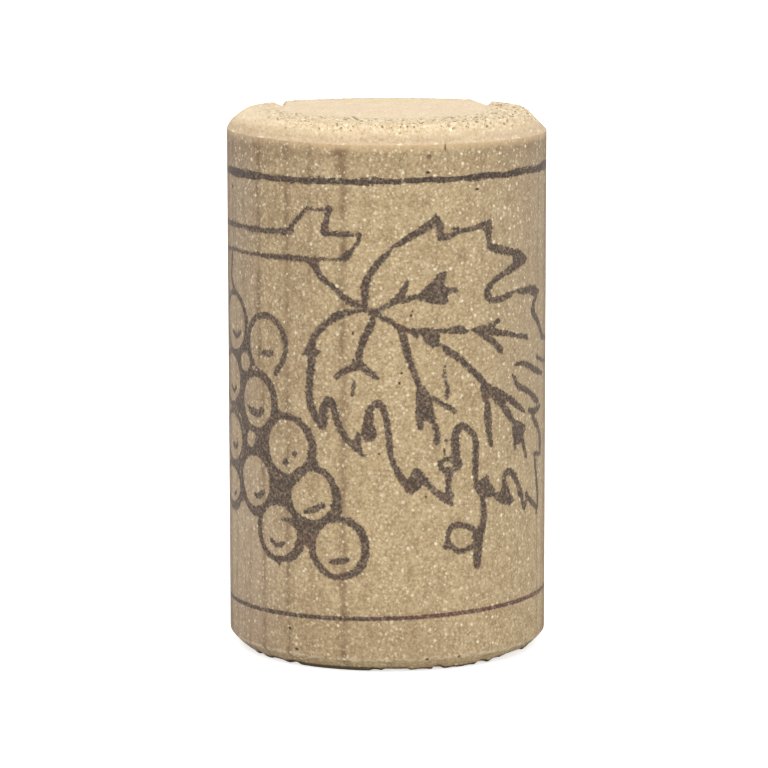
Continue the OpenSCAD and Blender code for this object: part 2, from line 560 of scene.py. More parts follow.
    def open_grape(self) -> Stroke:
        """The grape at the upper right, whose outline stays open at its lower right."""
        turns = np.radians(np.linspace(-50, 227, 20))
        return Stroke(tuple((-9.53 + 2.0 * math.cos(a), 22.5 + 2.02 * math.sin(a), .48) for a in turns))

    def shading(self) -> list[Mark]:
        """The short curved marks inside the grapes."""
        return [
            line((-14.4, 22.8, .35), (-13.6, 22.58, .4), (-12.87, 22.93, .4)), dot(-10.17, 22.15, .15),
            line((-9.8, 21.88, .35), (-9.25, 21.87, .5), (-8.8, 22, .35)),
            line((-15, 18.9, .3), (-14.3, 18.6, .33), (-13.75, 18.93, .3)),
            line((-11.65, 17.95, .3), (-11.2, 17.65, .5), (-10.3, 17.6, .62), (-9.9, 17.85, .5)),
            line((-14.5, 14.8, .35), (-14, 14.63, .4), (-13.55, 14.87, .37)),
            line((-10.8, 11.75, .35), (-10.4, 11.7, .45), (-10.05, 11.9, .5), (-9.78, 12.1, .35)),
            line((-14.3, 11.2, .3), (-13.9, 11.4, .3)),
            line((-5.9, 11.17, .35), (-5.3, 11.37, .47), (-4.6, 11.72, .47)),
            line((-8.95, 8.8, .35), (-8.55, 8.57, .42), (-8.15, 8.55, .42), (-7.85, 8.7, .37)),
            line((-8, 10.47, .25), (-7.4, 10.38, .3)),
            spot((-7.6, 10.42), (-7.2, 10.22), (-6.65, 9.9), (-6.45, 10.15), (-6.9, 10.6)),
            dot(-7.58, 14.47, .27), dot(-6.8, 15.12, .2),
            line((-3.95, 7.8, .35), (-3.4, 7.83, .45), (-2.8, 8.02, .42)),
        ]

    def gaps(self) -> list[Mark]:
        """The solid spots and the small rings between the grapes."""
        return [
            Grape(-12.05, 20.95, .85, .38),
            line((-12.03, 15.6, .4), (-11.65, 16.33, .35), (-11, 16.35, .35), (-10.42, 15.9, .4),
                 (-10.5, 15.2, .4), (-11.2, 14.9, .35), (-11.85, 15.05, .4), (-12.03, 15.6, .4)),
            spot((-12.05, 24.2), (-11.65, 24.1), (-11.75, 23.6), (-11.8, 22.5), (-11.4, 22), (-12.2, 21.9),
                 (-12, 22.8), (-11.95, 23.8)),
            spot((-13.9, 21.4), (-12.8, 21.5), (-12.9, 21), (-13.1, 20.7)),
            spot((-12.7, 20.2), (-11.8, 20.3), (-12.25, 19.4), (-12.4, 18.4), (-12.4, 17.5), (-13, 17.2),
                 (-13.7, 17.4), (-13, 18.1), (-12.7, 18.8)), line((-10.7, 20.75, .2), (-9.9, 20.55, .25)),
            spot((-9.7, 16.6), (-9.15, 17.05), (-8.85, 17.7), (-8.6, 17.5), (-9, 16.8)),
            spot((-8.6, 17.9), (-8.1, 18), (-7.8, 17.85), (-8.3, 17.4)),
            spot((-10.6, 15.8), (-9.9, 16.5), (-9.25, 16.6), (-9.3, 15), (-9, 14.1), (-9.8, 14.2),
                 (-10.1, 14.6), (-11, 14.9)),
            spot((-9.1, 13.9), (-8.5, 13.6), (-7, 13.6), (-6.2, 13.95), (-5.5, 14.2), (-6.1, 13.65),
                 (-6.7, 13.17), (-7.15, 12.6), (-7.15, 11.5), (-7.8, 11.6), (-8.5, 11.6), (-9.1, 11.7)),
            spot((-6.9, 11), (-5, 10.4), (-5.3, 9.5), (-5.85, 8.8), (-6.05, 8.9), (-6.2, 9.6),
                 (-6.4, 10.2)), spot((-3.9, 11.8), (-3.3, 12), (-3.2, 11.2), (-3.9, 11)),
            spot((-10.9, 10.8), (-10, 10.9), (-10.35, 10.35), (-10.6, 10.3)), dot(-3.6, 11, .25),
            dot(-5.3, 14.6, .4),
            spot((-12.75, 17.6), (-12.3, 17.1), (-11.9, 16.8), (-11.5, 16.7), (-11.7, 16.3), (-12.1, 16.05),
                 (-12.4, 16.4), (-12.8, 17.1)),
            spot((-12.6, 13.9), (-12, 14.5), (-11.7, 14.9), (-12.1, 15.9), (-12.4, 16), (-12.6, 15.4)),
            spot((-12.5, 14.3), (-12.8, 14.2), (-13.8, 13.45), (-13.1, 13.1), (-12.9, 13.4)),
            spot((-12.9, 11.4), (-12.4, 11.6), (-12.3, 11.2), (-12.8, 11)),
        ]

    def marks(self) -> list[Mark]:
        """All marks of the print."""
        return [
            *self.twig(), *self.stalks(), *self.leaf_top(), *self.leaf_right(), *self.leaf_bottom(),
            *self.leaf_left(), *self.vein_up(), *self.vein_across(), *self.vein_main(),
            *self.vein_down(), *self.vein_left(), *self.tendril(), *self.grapes(), *self.shading(),
            *self.gaps(),
        ]

    def distance(self, s: Array, z: Array) -> Array:
        """Distance to the edge of the nearest inked mark, below 0 inside it and at most REACH.

        Args:
            s: Places round the side from the front.
            z: Heights.

        Returns:
            One distance per place.
        """
        place = np.stack([s, z], axis=1)
        best = np.full(len(place), self.REACH)
        for mark in self.marks():
            low, high = mark.corners()
            near = np.all((place > low - self.MARGIN) & (place < high + self.MARGIN), axis=1)
            if near.any():
                best[near] = np.minimum(best[near], mark.distance(place[near]))
        return best


# ---------- shape

@dataclass
class Profile:
    """The outline of half the stopper, from the centre of the bottom to the centre of the top.

    A place on it is given by its distance along the outline.

    Attributes:
        radius: Radius of the straight side.
        height: Length of the stopper.
    """

    radius: float
    height: float
    top_bevel: Point = (1.3, 1.35)
    bottom_bevel: Point = (1.05, 1.05)
    edge_round: float = 0.14
    rim_round: float = 0.12
    foot_round: float = 0.3
    lip_round: float = 0.12
    arc_steps: int = 6
    path: Array = field(init=False)
    length: Array = field(init=False)
    normal: Array = field(init=False)
    stops: list[float] = field(init=False)
    bottom_edge: float = field(init=False)
    lower_rim: float = field(init=False)
    upper_rim: float = field(init=False)
    top_edge: float = field(init=False)

    def __post_init__(self) -> None:
        """Works out the outline with its rounded corners."""
        corners = [
            (0.0, 0.0, 0.0),
            (self.radius - self.bottom_bevel[0], 0.0, self.lip_round),
            (self.radius, self.bottom_bevel[1], self.foot_round),
            (self.radius, self.height - self.top_bevel[1], self.rim_round),
            (self.radius - self.top_bevel[0], self.height, self.edge_round),
            (0.0, self.height, 0.0),
        ]
        places = [np.array(corners[0][:2])]
        middles = [0]
        for before, corner, after in zip(corners, corners[1:], corners[2:]):
            arc = self._arc(np.array(before[:2]), np.array(corner[:2]), np.array(after[:2]), corner[2])
            middles.append(len(places) + len(arc) // 2)
            places.extend(arc)
        places.append(np.array(corners[-1][:2]))
        self.path = np.array(places)
        steps = np.diff(self.path, axis=0)
        self.length = np.concatenate([[0.0], np.cumsum(np.hypot(steps[:, 0], steps[:, 1]))])
        tangent = np.gradient(self.path, self.length, axis=0)
        self.normal = np.stack([tangent[:, 1], -tangent[:, 0]], axis=1)
        self.stops = [float(self.length[middle]) for middle in (*middles, -1)]
        self.bottom_edge, self.lower_rim, self.upper_rim, self.top_edge = self.stops[1:5]

    @property
    def flat_radius(self) -> float:
        """Radius of the flat top."""
        return self.radius - self.top_bevel[0]

    def _arc(self, before: Array, corner: Array, after: Array, radius: float) -> list[Array]:
        """Points of the arc that rounds one corner.

        Args:
            before: The corner before it.
            corner: The corner itself.
            after: The corner after it.
            radius: Radius of the arc.

        Returns:
            The points, in order.
        """
        inward = (before - corner) / np.linalg.norm(before - corner)
        outward = (after - corner) / np.linalg.norm(after - corner)
        half = math.acos(float(np.clip(inward @ outward, -1.0, 1.0))) / 2
        middle = (inward + outward) / np.linalg.norm(inward + outward)
        centre = corner + middle * radius / math.sin(half)
        start = corner + inward * radius / math.tan(half) - centre
        end = corner + outward * radius / math.tan(half) - centre
        turn = math.pi - 2 * half
        points = []
        for share in np.arange(self.arc_steps + 1) / self.arc_steps:
            weights = math.sin((1 - share) * turn), math.sin(share * turn)
            points.append(centre + (start * weights[0] + end * weights[1]) / math.sin(turn))
        return points

    def at(self, along: Array) -> list[Array]:
        """Radius, height, and outward and upward part of the normal at places along the outline."""
        return [np.interp(along, self.length, column) for column in (*self.path.T, *self.normal.T)]


@dataclass(frozen=True)
class Nick:
    """A nick cut through the top rim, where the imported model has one.

    Its turn is the angle from the back of the rim, positive to the right. The inner wall is steep, and the
    outer one is gentle and may be torn up. It fades out after its run, and its heading is the angle of its
    floor line to the front-to-back line.
    """

    turn: float
    inner: float
    outer: float
    depth: float
    torn: float = 0.0
    run: float = 4.5
    heading: float = 6.0

    def along_and_across(self, x: Array, y: Array, rim: float) -> tuple[Array, Array]:
        """Where places lie beside the nick's floor line.

        Args:
            x: Places to the right of the axis.
            y: Places behind the axis.
            rim: Radius of the flat top.

        Returns:
            Distances in from the rim, and to the outward side of the floor line.
        """
        angle = math.radians(self.turn)
        way = math.radians(self.heading)
        x = x - rim * math.sin(angle)
        y = y - rim * math.cos(angle)
        outward = math.copysign(1.0, self.turn)
        return x * math.sin(way) - y * math.cos(way), outward * (x * math.cos(way) + y * math.sin(way))

    def near(self, place: Array, rim: float) -> Array:
        """1 in and close to the nick, 0 elsewhere."""
        along, across = self.along_and_across(place[:, 0], place[:, 1], rim)
        return smooth(np.abs(across - 0.1), 1.0, 0.7) * smooth(along, 4.8, 4.2) * smooth(along, -2.2, -1.8)

    def surface(self, place: Array, rim: float, top: float) -> Array:
        """Height of the cut over each place.

        Args:
            place: Points, shape (n, 3).
            rim: Radius of the flat top.
            top: Height of the flat top.

        Returns:
            One height per place.
        """
        along, across = self.along_and_across(place[:, 0], place[:, 1], rim)
        floor = top - self.depth * (1.0 - along / self.run)
        wall = np.where(across > 0, across / self.outer, -across / self.inner) * self.depth
        ragged = Noise(0.28, 41).soft(place) - 0.4
        return floor + wall + self.torn * ragged * smooth(across, 0.0, 0.25) * smooth(across, 1.1, 0.6)


class SurfaceNet:
    """A closed triangle net over a solid of revolution, which can be refined where that is needed.

    A corner is kept as a place across the axis (x, y) and a distance along the profile. Each triangle's
    first corner faces its longest edge, which is the one that is split next.
    """

    COARSE = 1.0

    def __init__(self, profile: Profile) -> None:
        """Makes the coarse net: rings of corners, joined by triangles.

        Args:
            profile: The outline that is turned about the axis.
        """
        self.profile = profile
        flat: list[Point] = [(0.0, 0.0)]
        along: list[float] = [0.0]
        rings: list[list[int]] = [[0]]
        for number, station in enumerate(self._stations()):
            radius = float(profile.at(np.array([station]))[0][0])
            count = max(6, round(2 * math.pi * radius / self.COARSE))
            rings.append(list(range(len(flat), len(flat) + count)))
            for column in range(count):
                angle = 2 * math.pi * (column + 0.5 * (number % 2)) / count
                flat.append((radius * math.sin(angle), -radius * math.cos(angle)))
                along.append(station)
        rings.append([len(flat)])
        self.flat: Array = np.array([*flat, (0.0, 0.0)])
        self.along: Array = np.array([*along, profile.stops[-1]])
        faces: list[tuple[int, int, int]] = []
        for number, (lower, upper) in enumerate(zip(rings, rings[1:])):
            faces.extend(self._join(lower, upper, 0.5 * ((number - 1) % 2), 0.5 * (number % 2)))
        self.faces: Array = np.array(faces, np.int64)
        self._face_longest()

    def _stations(self) -> list[float]:
        """Distances along the profile of the rings, without the two poles.

        Returns:
            The distances, in order.
        """
        stations: list[float] = []
        for start, end in zip(self.profile.stops, self.profile.stops[1:]):
            count = max(1, round((end - start) / self.COARSE))
            stations.extend(start + (end - start) * step / count for step in range(count))
        return stations[1:]

    @staticmethod
    def _join(lower: list[int], upper: list[int], low_shift: float,
              high_shift: float) -> list[tuple[int, int, int]]:
        """Triangles between two rings.

        Args:
            lower: Corners of the ring before, in turn.
            upper: Corners of the ring after, in turn.
            low_shift: Turn of the first ring's first corner, in its own steps.
            high_shift: Turn of the second ring's first corner, in its own steps.

        Returns:
            The triangles, facing outwards.
        """
        if len(lower) == 1:
            return [(lower[0], upper[k], upper[k - 1]) for k in range(len(upper))]
        if len(upper) == 1:
            return [(lower[k - 1], lower[k], upper[0]) for k in range(len(lower))]
        faces = []
        low = high = 0
        while low < len(lower) or high < len(upper):
            low_turn = (low + 1 + low_shift) / len(lower)
            high_turn = (high + 1 + high_shift) / len(upper)
            here_low, here_high = lower[low % len(lower)], upper[high % len(upper)]
            if high >= len(upper) or (low < len(lower) and low_turn <= high_turn):
                low += 1
                faces.append((here_low, lower[low % len(lower)], here_high))
            else:
                high += 1
                faces.append((here_low, upper[high % len(upper)], here_high))
        return faces

    def points(self) -> Array:
        """The corners' places in space, before any relief."""
        return np.column_stack([self.flat, self.profile.at(self.along)[1]])

    def _face_longest(self) -> None:
        """Turns each triangle so that its first corner faces its longest edge."""
        corners = self.points()[self.faces]
        edges = np.roll(corners, -1, axis=1) - np.roll(corners, -2, axis=1)
        longest = np.linalg.norm(edges, axis=2).argmax(axis=1)
        order = (longest[:, None] + np.arange(3)) % 3
        self.faces = np.take_along_axis(self.faces, order, axis=1)

    def split_lengths(self) -> Array:
        """Length of the edge of each triangle that is split next."""
        points = self.points()
        return np.linalg.norm(points[self.faces[:, 1]] - points[self.faces[:, 2]], axis=1)

    def split(self, chosen: Array) -> None:
        """Splits triangles in two, and their neighbours where the net needs it.

        Args:
            chosen: True for each triangle that is too large.
        """
        pairs = np.sort(self.faces[:, [[1, 2], [2, 0], [0, 1]]])
        keys = pairs[:, :, 0] * len(self.flat) + pairs[:, :, 1]
        edges, index = np.unique(keys, return_inverse=True)
        index = index.reshape(-1, 3)
        cut = np.zeros(len(edges), bool)
        needed = chosen
        while needed.any():
            cut[index[needed, 0]] = True
            needed = cut[index].any(axis=1) & ~cut[index[:, 0]]
        middle = np.full(len(edges), -1, np.int64)
        middle[cut] = len(self.flat) + np.arange(int(cut.sum()))
        self._add_middles(*np.divmod(edges[cut], len(self.flat)))
        longest = index[:, 0].copy()
        for last in (False, True):
            found = np.flatnonzero(middle[longest] >= 0)
            one, two, three = self.faces[found].T
            new = middle[longest[found]]
            self.faces[found] = np.stack([new, one, two], axis=1)
            self.faces = np.vstack([self.faces, np.stack([new, three, one], axis=1)])
            if not last:
                longest[found] = index[found, 2]
                longest = np.concatenate([longest, index[found, 1]])

    def _add_middles(self, first: Array, second: Array) -> None:
        """Adds a corner halfway between each pair of corners, on the surface.

        Args:
            first: One end of each edge.
            second: The other end.
        """
        along = (self.along[first] + self.along[second]) / 2
        flat = (self.flat[first] + self.flat[second]) / 2
        reach = np.maximum(np.hypot(flat[:, 0], flat[:, 1]), TINY)
        self.flat = np.vstack([self.flat, flat * (self.profile.at(along)[0] / reach)[:, None]])
        self.along = np.concatenate([self.along, along])


@dataclass(frozen=True)
class Fineness:
    """Longest edges of the net's triangles, in millimetres, by part of the surface.

    The print's edges are twice as long past print_front, which is a place round the side from the front.
    """

    side: float = 0.8
    bottom: float = 0.6
    bottom_bevel: float = 0.4
    bottom_lip: float = 0.19
    lower_rim: float = 0.36
    upper_rim: float = 0.15
    top_bevel: float = 0.29
    flat_top: float = 0.36
    pores: float = 0.19
    nicks: float = 0.145
    stains: float = 0.25
    pits: float = 0.075
    print_edge: float = 0.145
    print_front: float = 17.0


@dataclass(frozen=True)
class Depths:
    """Depths and heights of the cork's relief, in millimetres."""

    broad_wave: float = 0.05
    short_wave: float = 0.03
    sawn_line: float = 0.045
    pore_floor: float = 0.02
    pore: float = 0.06
    fine_pore: float = 0.03
    deep_pore: float = 0.12
    scratch: float = 0.04
    lip_break: float = 0.1
    lip_grain: float = 0.035
    bottom_grain: float = 0.03
    nick_grain: float = 0.04
    bevel_bulge: float = 0.2
    left_rise: float = 0.17
    left_shoulder: float = 0.5
    right_shoulder: float = 0.48


@dataclass(frozen=True)
class Streak:
    """A darker line that runs up the side: place round the side, width, strength up to 1, and its ends."""

    s: float
    width: float
    strength: float
    low: float = 0.0
    high: float = 38.0


@dataclass(frozen=True)
class Stain:
    """A faint brown smudge on the side: place round the side, height, radius, and strength up to 1."""

    s: float
    z: float
    radius: float
    strength: float


@dataclass(frozen=True)
class Pit:
    """A small hole in the side: place round the side, height, both widths, depth, and its painted shade up to
    1.
    """

    s: float
    z: float
    width: float
    tall: float
    depth: float = 0.12
    shade: float = 1.0

    def reach(self, s: Array, height: Array) -> Array:
        """Distance from the pit's middle, 1 at its edge."""
        return 2 * np.hypot((s - self.s) / self.width, (height - self.z) / self.tall)


@dataclass(frozen=True)
class Chip:
    """A break in the bottom edge: place round the side, half its width, and depth."""

    s: float
    half: float
    depth: float


@dataclass
class CorkSurface:
    """The cork's surface with its relief, and what the finishes need to know at each corner.

    Attributes:
        radius: Radius of the straight side.
        height: Length of the cork.
        rounds: Most rounds of refining.
        front_reach: How far round from the front stains and pits may lie.
    """

    radius: float
    height: float
    fineness: Fineness = Fineness()
    depths: Depths = Depths()
    rounds: int = 24
    front_reach: float = 20.0
    smooth_centre: Point = (0.0, 2.0)
    smooth_radius: float = 7.3
    scratch: tuple[Point, Point] = ((-2.35, -4.1), (-1.95, -6.9))
    scratch_width: float = 0.16
    stains: tuple[Stain, ...] = (
        Stain(-.8, 32.5, .45, .35), Stain(2.3, 28.1, .42, .4), Stain(5.4, 28.9, .5, .35),
        Stain(3.3, 15.9, .45, .35), Stain(-6, 27.3, .2, .5), Stain(-6, 25.9, .2, .35),
        Stain(-10.6, 25.4, .45, .3), Stain(11.8, 29.7, .4, .45), Stain(-10, 26.1, .16, .9),
        Stain(-3, 9.5, .22, .5), Stain(-4.9, 5.5, .4, .3), Stain(-3.2, 36.1, .65, 1),
        Stain(-3.2, 35.2, .4, .8), Stain(6.5, 23.3, .35, .3), Stain(1.7, 7.3, .25, .4),
        Stain(-15.2, 28, .5, .5), Stain(8.5, 36.2, .4, .3), Stain(2.9, 35.85, .2, .9),
        Stain(-10.4, 36.3, .7, .6), Stain(-7.5, 36.2, .5, .5), Stain(-5.5, 36.3, .4, .5),
    )
    pits: tuple[Pit, ...] = (
        Pit(1.65, 25, .2, .2), Pit(1.75, 25.3, .12, .1), Pit(-2.35, 23.75, .16, .3),
        Pit(.45, 22.35, .16, .18), Pit(1, 21.05, .16, .18), Pit(.85, 20.35, .14, .2),
        Pit(-.55, 15.45, .14, .14), Pit(-.8, 14, .14, .16), Pit(1, 11.35, .14, .16),
        Pit(2.7, 12.4, .12, .14), Pit(2.85, 34.75, .34, .2), Pit(-7.3, 2.75, .22, .22),
        Pit(-6.7, 1.35, .35, .2), Pit(4.07, 36.45, .15, .6, .08, .7), Pit(6.55, 33.45, .3, .14),
        Pit(5.2, .95, .2, .25), Pit(2.8, .95, .3, .2), Pit(5.5, 5.3, .12, .14),
        Pit(-14.3, 33, .4, .25), Pit(.88, 35.5, .13, .5, .04, .45),
        Pit(.97, 35.1, .13, .4, .04, .5), Pit(2.95, 35.9, .2, .12, .04, .6),
    )
    broken: tuple[Chip, ...] = (
        Chip(-11.6, .6, .1), Chip(-9.4, 1.1, .1), Chip(-7.6, .6, .1), Chip(-.9, .6, .1),
        Chip(.45, 1.2, .22), Chip(1.3, .5, .18), Chip(2.6, .8, .08), Chip(3.9, .5, .32),
        Chip(7.8, .7, .2), Chip(9.4, .9, .16), Chip(11.4, 1.8, .45), Chip(12.6, 1, .4),
    )
    nicks: tuple[Nick, ...] = (
        Nick(-49.0, inner=0.25, outer=0.62, depth=0.44),
        Nick(45.0, inner=0.6, outer=0.72, depth=0.5, torn=0.2),
    )
    picture: VinePrint = VinePrint()
    profile: Profile = field(init=False)
    net: SurfaceNet = field(init=False)
    ink: Array = field(init=False)

    def __post_init__(self) -> None:
        """Sets out the profile and the coarse net."""
        self.profile = Profile(self.radius, self.height)
        self.net = SurfaceNet(self.profile)
        self.ink = self._ink_of(0)

    # Where a corner lies

    @property
    def place(self) -> Array:
        """The corners before any relief, shape (n, 3)."""
        return self.net.points()

    @property
    def around(self) -> Array:
        """Place of each corner round the side from the front, positive to the right."""
        return self.radius * np.arctan2(self.place[:, 0], -self.place[:, 1])

    def side_share(self) -> Array:
        """1 on the straight side and 0 past its rims."""
        along, low, high = self.net.along, self.profile.lower_rim, self.profile.upper_rim
        return smooth(along, low - 0.3, low + 0.1) * smooth(along, high + 0.05, high - 0.05)

    def bevel_share(self) -> Array:
        """0 at the edge of the flat top, 1 at the upper rim and below it."""
        span = self.profile.top_edge - self.profile.upper_rim
        return np.clip((self.profile.top_edge - self.net.along) / span, 0.0, 1.0)

    def pore_share(self) -> Array:
        """How much of the cut face shows open pores.

        Returns:
            1 where it is open and 0 where it is smooth.
        """
        place = self.place
        reach = np.hypot(place[:, 0] - self.smooth_centre[0], place[:, 1] - self.smooth_centre[1])
        reach = reach + 1.2 * (Noise(2.2, 7).soft(place) - 0.5)
        open_face = smooth(reach, self.smooth_radius - 0.2, self.smooth_radius + 0.9)
        worn = smooth(self.bevel_share() + 0.3 * (Noise(1.4, 9).soft(place) - 0.5), 0.62, 0.32)
        return np.where(self.net.along > self.profile.upper_rim, open_face * worn, 0.0)

    def nick_share(self, place: Array) -> Array:
        """1 in and close to a nick, 0 elsewhere."""
        return np.max([nick.near(place, self.profile.flat_radius) for nick in self.nicks], axis=0)

    def shoulder(self) -> Array:
        """How far the worn edge of the top stands out, most at the back left and the back right.

        Returns:
            The distance outwards at each corner.
        """
        place = self.place
        turn = np.degrees(np.arctan2(place[:, 0], place[:, 1]))
        left = self.depths.left_shoulder * smooth(turn, -22.0, -46.0) * smooth(turn, -84.0, -64.0)
        right = self.depths.right_shoulder * smooth(turn, 12.0, 38.0) * smooth(turn, 82.0, 62.0)
        right = right * (1.0 - 0.25 * smooth(turn, 44.0, 54.0))
        inner = smooth(np.hypot(place[:, 0], place[:, 1]), 7.0, 9.8)
        down = np.where(self.net.along > self.profile.upper_rim, 1.0 - self.bevel_share() ** 2, 0.0)
        return (left + right) * inner * down

    def scratch_share(self, width: float) -> Array:
        """1 in the scratch on the flat top, 0 past a width beside it."""
        start, end = np.array(self.scratch)
        return smooth(beside(self.place[:, :2], start, end)[1], width, 0.2 * width)

    # How fine the net has to be

    def _wanted(self) -> Array:
        """Longest edge that is wanted at each corner.

        Returns:
            One length per corner.
        """
        along, outline, fine, s = self.net.along, self.profile, self.fineness, self.around
        height = self.place[:, 2]
        top = along > outline.upper_rim
        size = np.full(len(s), fine.side)
        for part, edge in (
            (along < outline.lower_rim, fine.bottom_bevel),
            (along < outline.bottom_edge - 0.3, fine.bottom),
            (np.abs(along - outline.bottom_edge) < 0.35, fine.bottom_lip),
            (np.abs(along - outline.lower_rim) < 0.3, fine.lower_rim),
            (top, fine.top_bevel),
            (along > outline.top_edge + 0.1, fine.flat_top),
            (np.abs(along - outline.upper_rim) < 0.12, fine.upper_rim),
        ):
            size[part] = edge
        stained = [np.hypot(s - stain.s, height - stain.z) < 1.5 * stain.radius for stain in self.stains]
        pitted = [pit.reach(s, height) < 2.4 for pit in self.pits]
        for part, edge in (
            (self.pore_share() > 0.05, fine.pores),
            (top & (self.nick_share(self.place) > 0.1), fine.nicks),
            (top & (self.scratch_share(0.3) > 0), fine.pits),
            (np.any(stained, axis=0) & ~top, fine.stains),
            (np.any(pitted, axis=0) & (np.abs(s) < self.front_reach), fine.pits),
        ):
            size[part] = np.minimum(size[part], edge)
        return size

    def _ink_of(self, first: int) -> Array:
        """Distance to the ink.

        Args:
            first: The first corner that is asked for.

        Returns:
            One distance for each corner from that one on.
        """
        along = self.net.along[first:]
        found = np.full(len(along), VinePrint.REACH)
        side = (along > self.profile.lower_rim) & (along < self.profile.upper_rim)
        found[side] = self.picture.distance(self.around[first:][side], self.place[first:, 2][side])
        return found

    def refine(self) -> None:
        """Splits triangles until the print, the pores, the pits and the nicks have a fine enough net."""
        for _ in range(self.rounds):
            faces, edges, known = self.net.faces, self.net.split_lengths(), len(self.net.along)
            to_ink = np.abs(self.ink)[faces].min(axis=1)
            aside = np.abs(self.around)[faces].min(axis=1)
            print_edge = self.fineness.print_edge * np.where(aside > self.fineness.print_front, 2, 1)
            near_ink = (edges > print_edge) & (to_ink < np.minimum(0.6 * edges, VinePrint.REACH))
            chosen = (edges > self._wanted()[faces].min(axis=1)) | near_ink
            if not chosen.any():
                break
            self.net.split(chosen)
            self.ink = np.concatenate([self.ink, self._ink_of(known)])

    # Relief, in millimetres along the outward normal

    def stain_marks(self) -> Array:
        """How dark the smudges are.

        Returns:
            One value from 0 to 1 per corner.
        """
        s, height = self.around, self.place[:, 2]
        ragged = 0.8 * (Noise(0.35, 121).soft(self.place) - 0.5)
        total = np.zeros(len(s))
        for stain in self.stains:
            reach = np.hypot(s - stain.s, height - stain.z) / stain.radius
            total = np.maximum(total, stain.strength * smooth(reach + ragged, 1.2, 0.3))
        return np.where(np.abs(s) < self.front_reach, total, 0.0) * self.side_share()

    def pit_marks(self) -> tuple[Array, Array]:
        """The small holes in the side.

        Returns:
            The painted shade of each corner, from 0 to 1, and how deep the pit is there.
        """
        s, height = self.around, self.place[:, 2]
        ragged = 0.5 * (Noise(0.12, 23).soft(self.place) - 0.5)
        share = np.zeros(len(s))
        depth = np.zeros(len(s))
        for pit in self.pits:
            reach = pit.reach(s, height) + ragged
            inside = np.where(np.abs(s) < self.front_reach, smooth(reach, 1.25, 0.5), 0.0)
            share = np.maximum(share, inside * pit.shade)
            depth = np.maximum(depth, inside * pit.depth)
        return share, depth

    def pores(self) -> tuple[Array, Array]:
        """The open pores and the scratch of the cut face.

        Returns:
            The depth, and the painted shade in the deep pores and the darkening of the scratch, from 0 to 1.
        """
        place, share, depths = self.place, self.pore_share(), self.depths
        reach, label = Noise(0.42, 3).cells(place)
        fine_reach, fine_label = Noise(0.24, 5).cells(place)
        bowl = smooth(reach, 0.62, 0.1)
        fine = smooth(fine_reach, 0.6, 0.15) * fine_label
        deep = smooth(label, 0.965, 0.98) * smooth(place[:, 1], 1.0, -2.0)
        front = smooth(place[:, 1], 5.0, -1.0)
        shallow = bowl * (depths.pore_floor + depths.pore * label) + depths.fine_pore * fine
        depth = share * front * shallow + share * depths.deep_pore * deep * bowl
        top = self.net.along > self.profile.upper_rim
        scratch = np.where(top, self.scratch_share(self.scratch_width), 0.0)
        pore_shade_and_scratch = np.maximum(share * deep * smooth(reach, 0.42, 0.2), 0.75 * scratch)
        return depth + depths.scratch * scratch, pore_shade_and_scratch

    def chips(self) -> Array:
        """The ragged, chipped lip of the bottom edge.

        Returns:
            The depth at each corner.
        """
        near = smooth(np.abs(self.net.along - self.profile.bottom_edge), 0.6, 0.05)
        turn = self.around
        hidden = smooth(np.abs(turn), 12.0, 15.0)
        depth = hidden * self.depths.lip_break * smooth(Noise(1.7, 31).soft(self.place), 0.45, 0.8)
        for chip in self.broken:
            off = np.abs(turn - chip.s)
            depth = np.maximum(depth, chip.depth * smooth(off, chip.half, 0.15 * chip.half))
        fine = smooth(Noise(0.5, 33).soft(self.place), 0.42, 0.75)
        whole = smooth(turn, -7.5, -6.0) * smooth(turn, -0.8, -2.0)
        return near * (depth + self.depths.lip_grain * fine * (1 - whole))

    def relief(self) -> Array:
        """How far the surface lies below its even shape, but for pits, pores and nicks.

        Returns:
            The depth at each corner.
        """
        place, along, outline, depths = self.place, self.net.along, self.profile, self.depths
        rim_share = smooth(along, outline.upper_rim, outline.upper_rim + 0.3)
        flat_top = smooth(along, outline.top_edge - 0.15, outline.top_edge + 0.15)
        bottom = smooth(along, outline.bottom_edge + 0.2, outline.bottom_edge - 0.2)
        saw = Noise(1.0, 11).soft(place * np.array([0.2, 0.9, 1.0]))
        waves = depths.broad_wave * Noise(3.2, 13).soft(place)
        waves = waves + depths.short_wave * Noise(1.1, 15).soft(place)
        front = 0.3 + 0.7 * smooth(place[:, 1], 4.0, -3.0)
        sawn = flat_top * (depths.sawn_line * saw + 0.4 * waves)
        top = front * (sawn + (1 - flat_top) * rim_share * 0.4 * waves)
        underside = bottom * (0.5 * waves + depths.bottom_grain * Noise(0.5, 17).soft(place))
        return self.side_share() * 0.2 * waves + top + self.chips() + underside

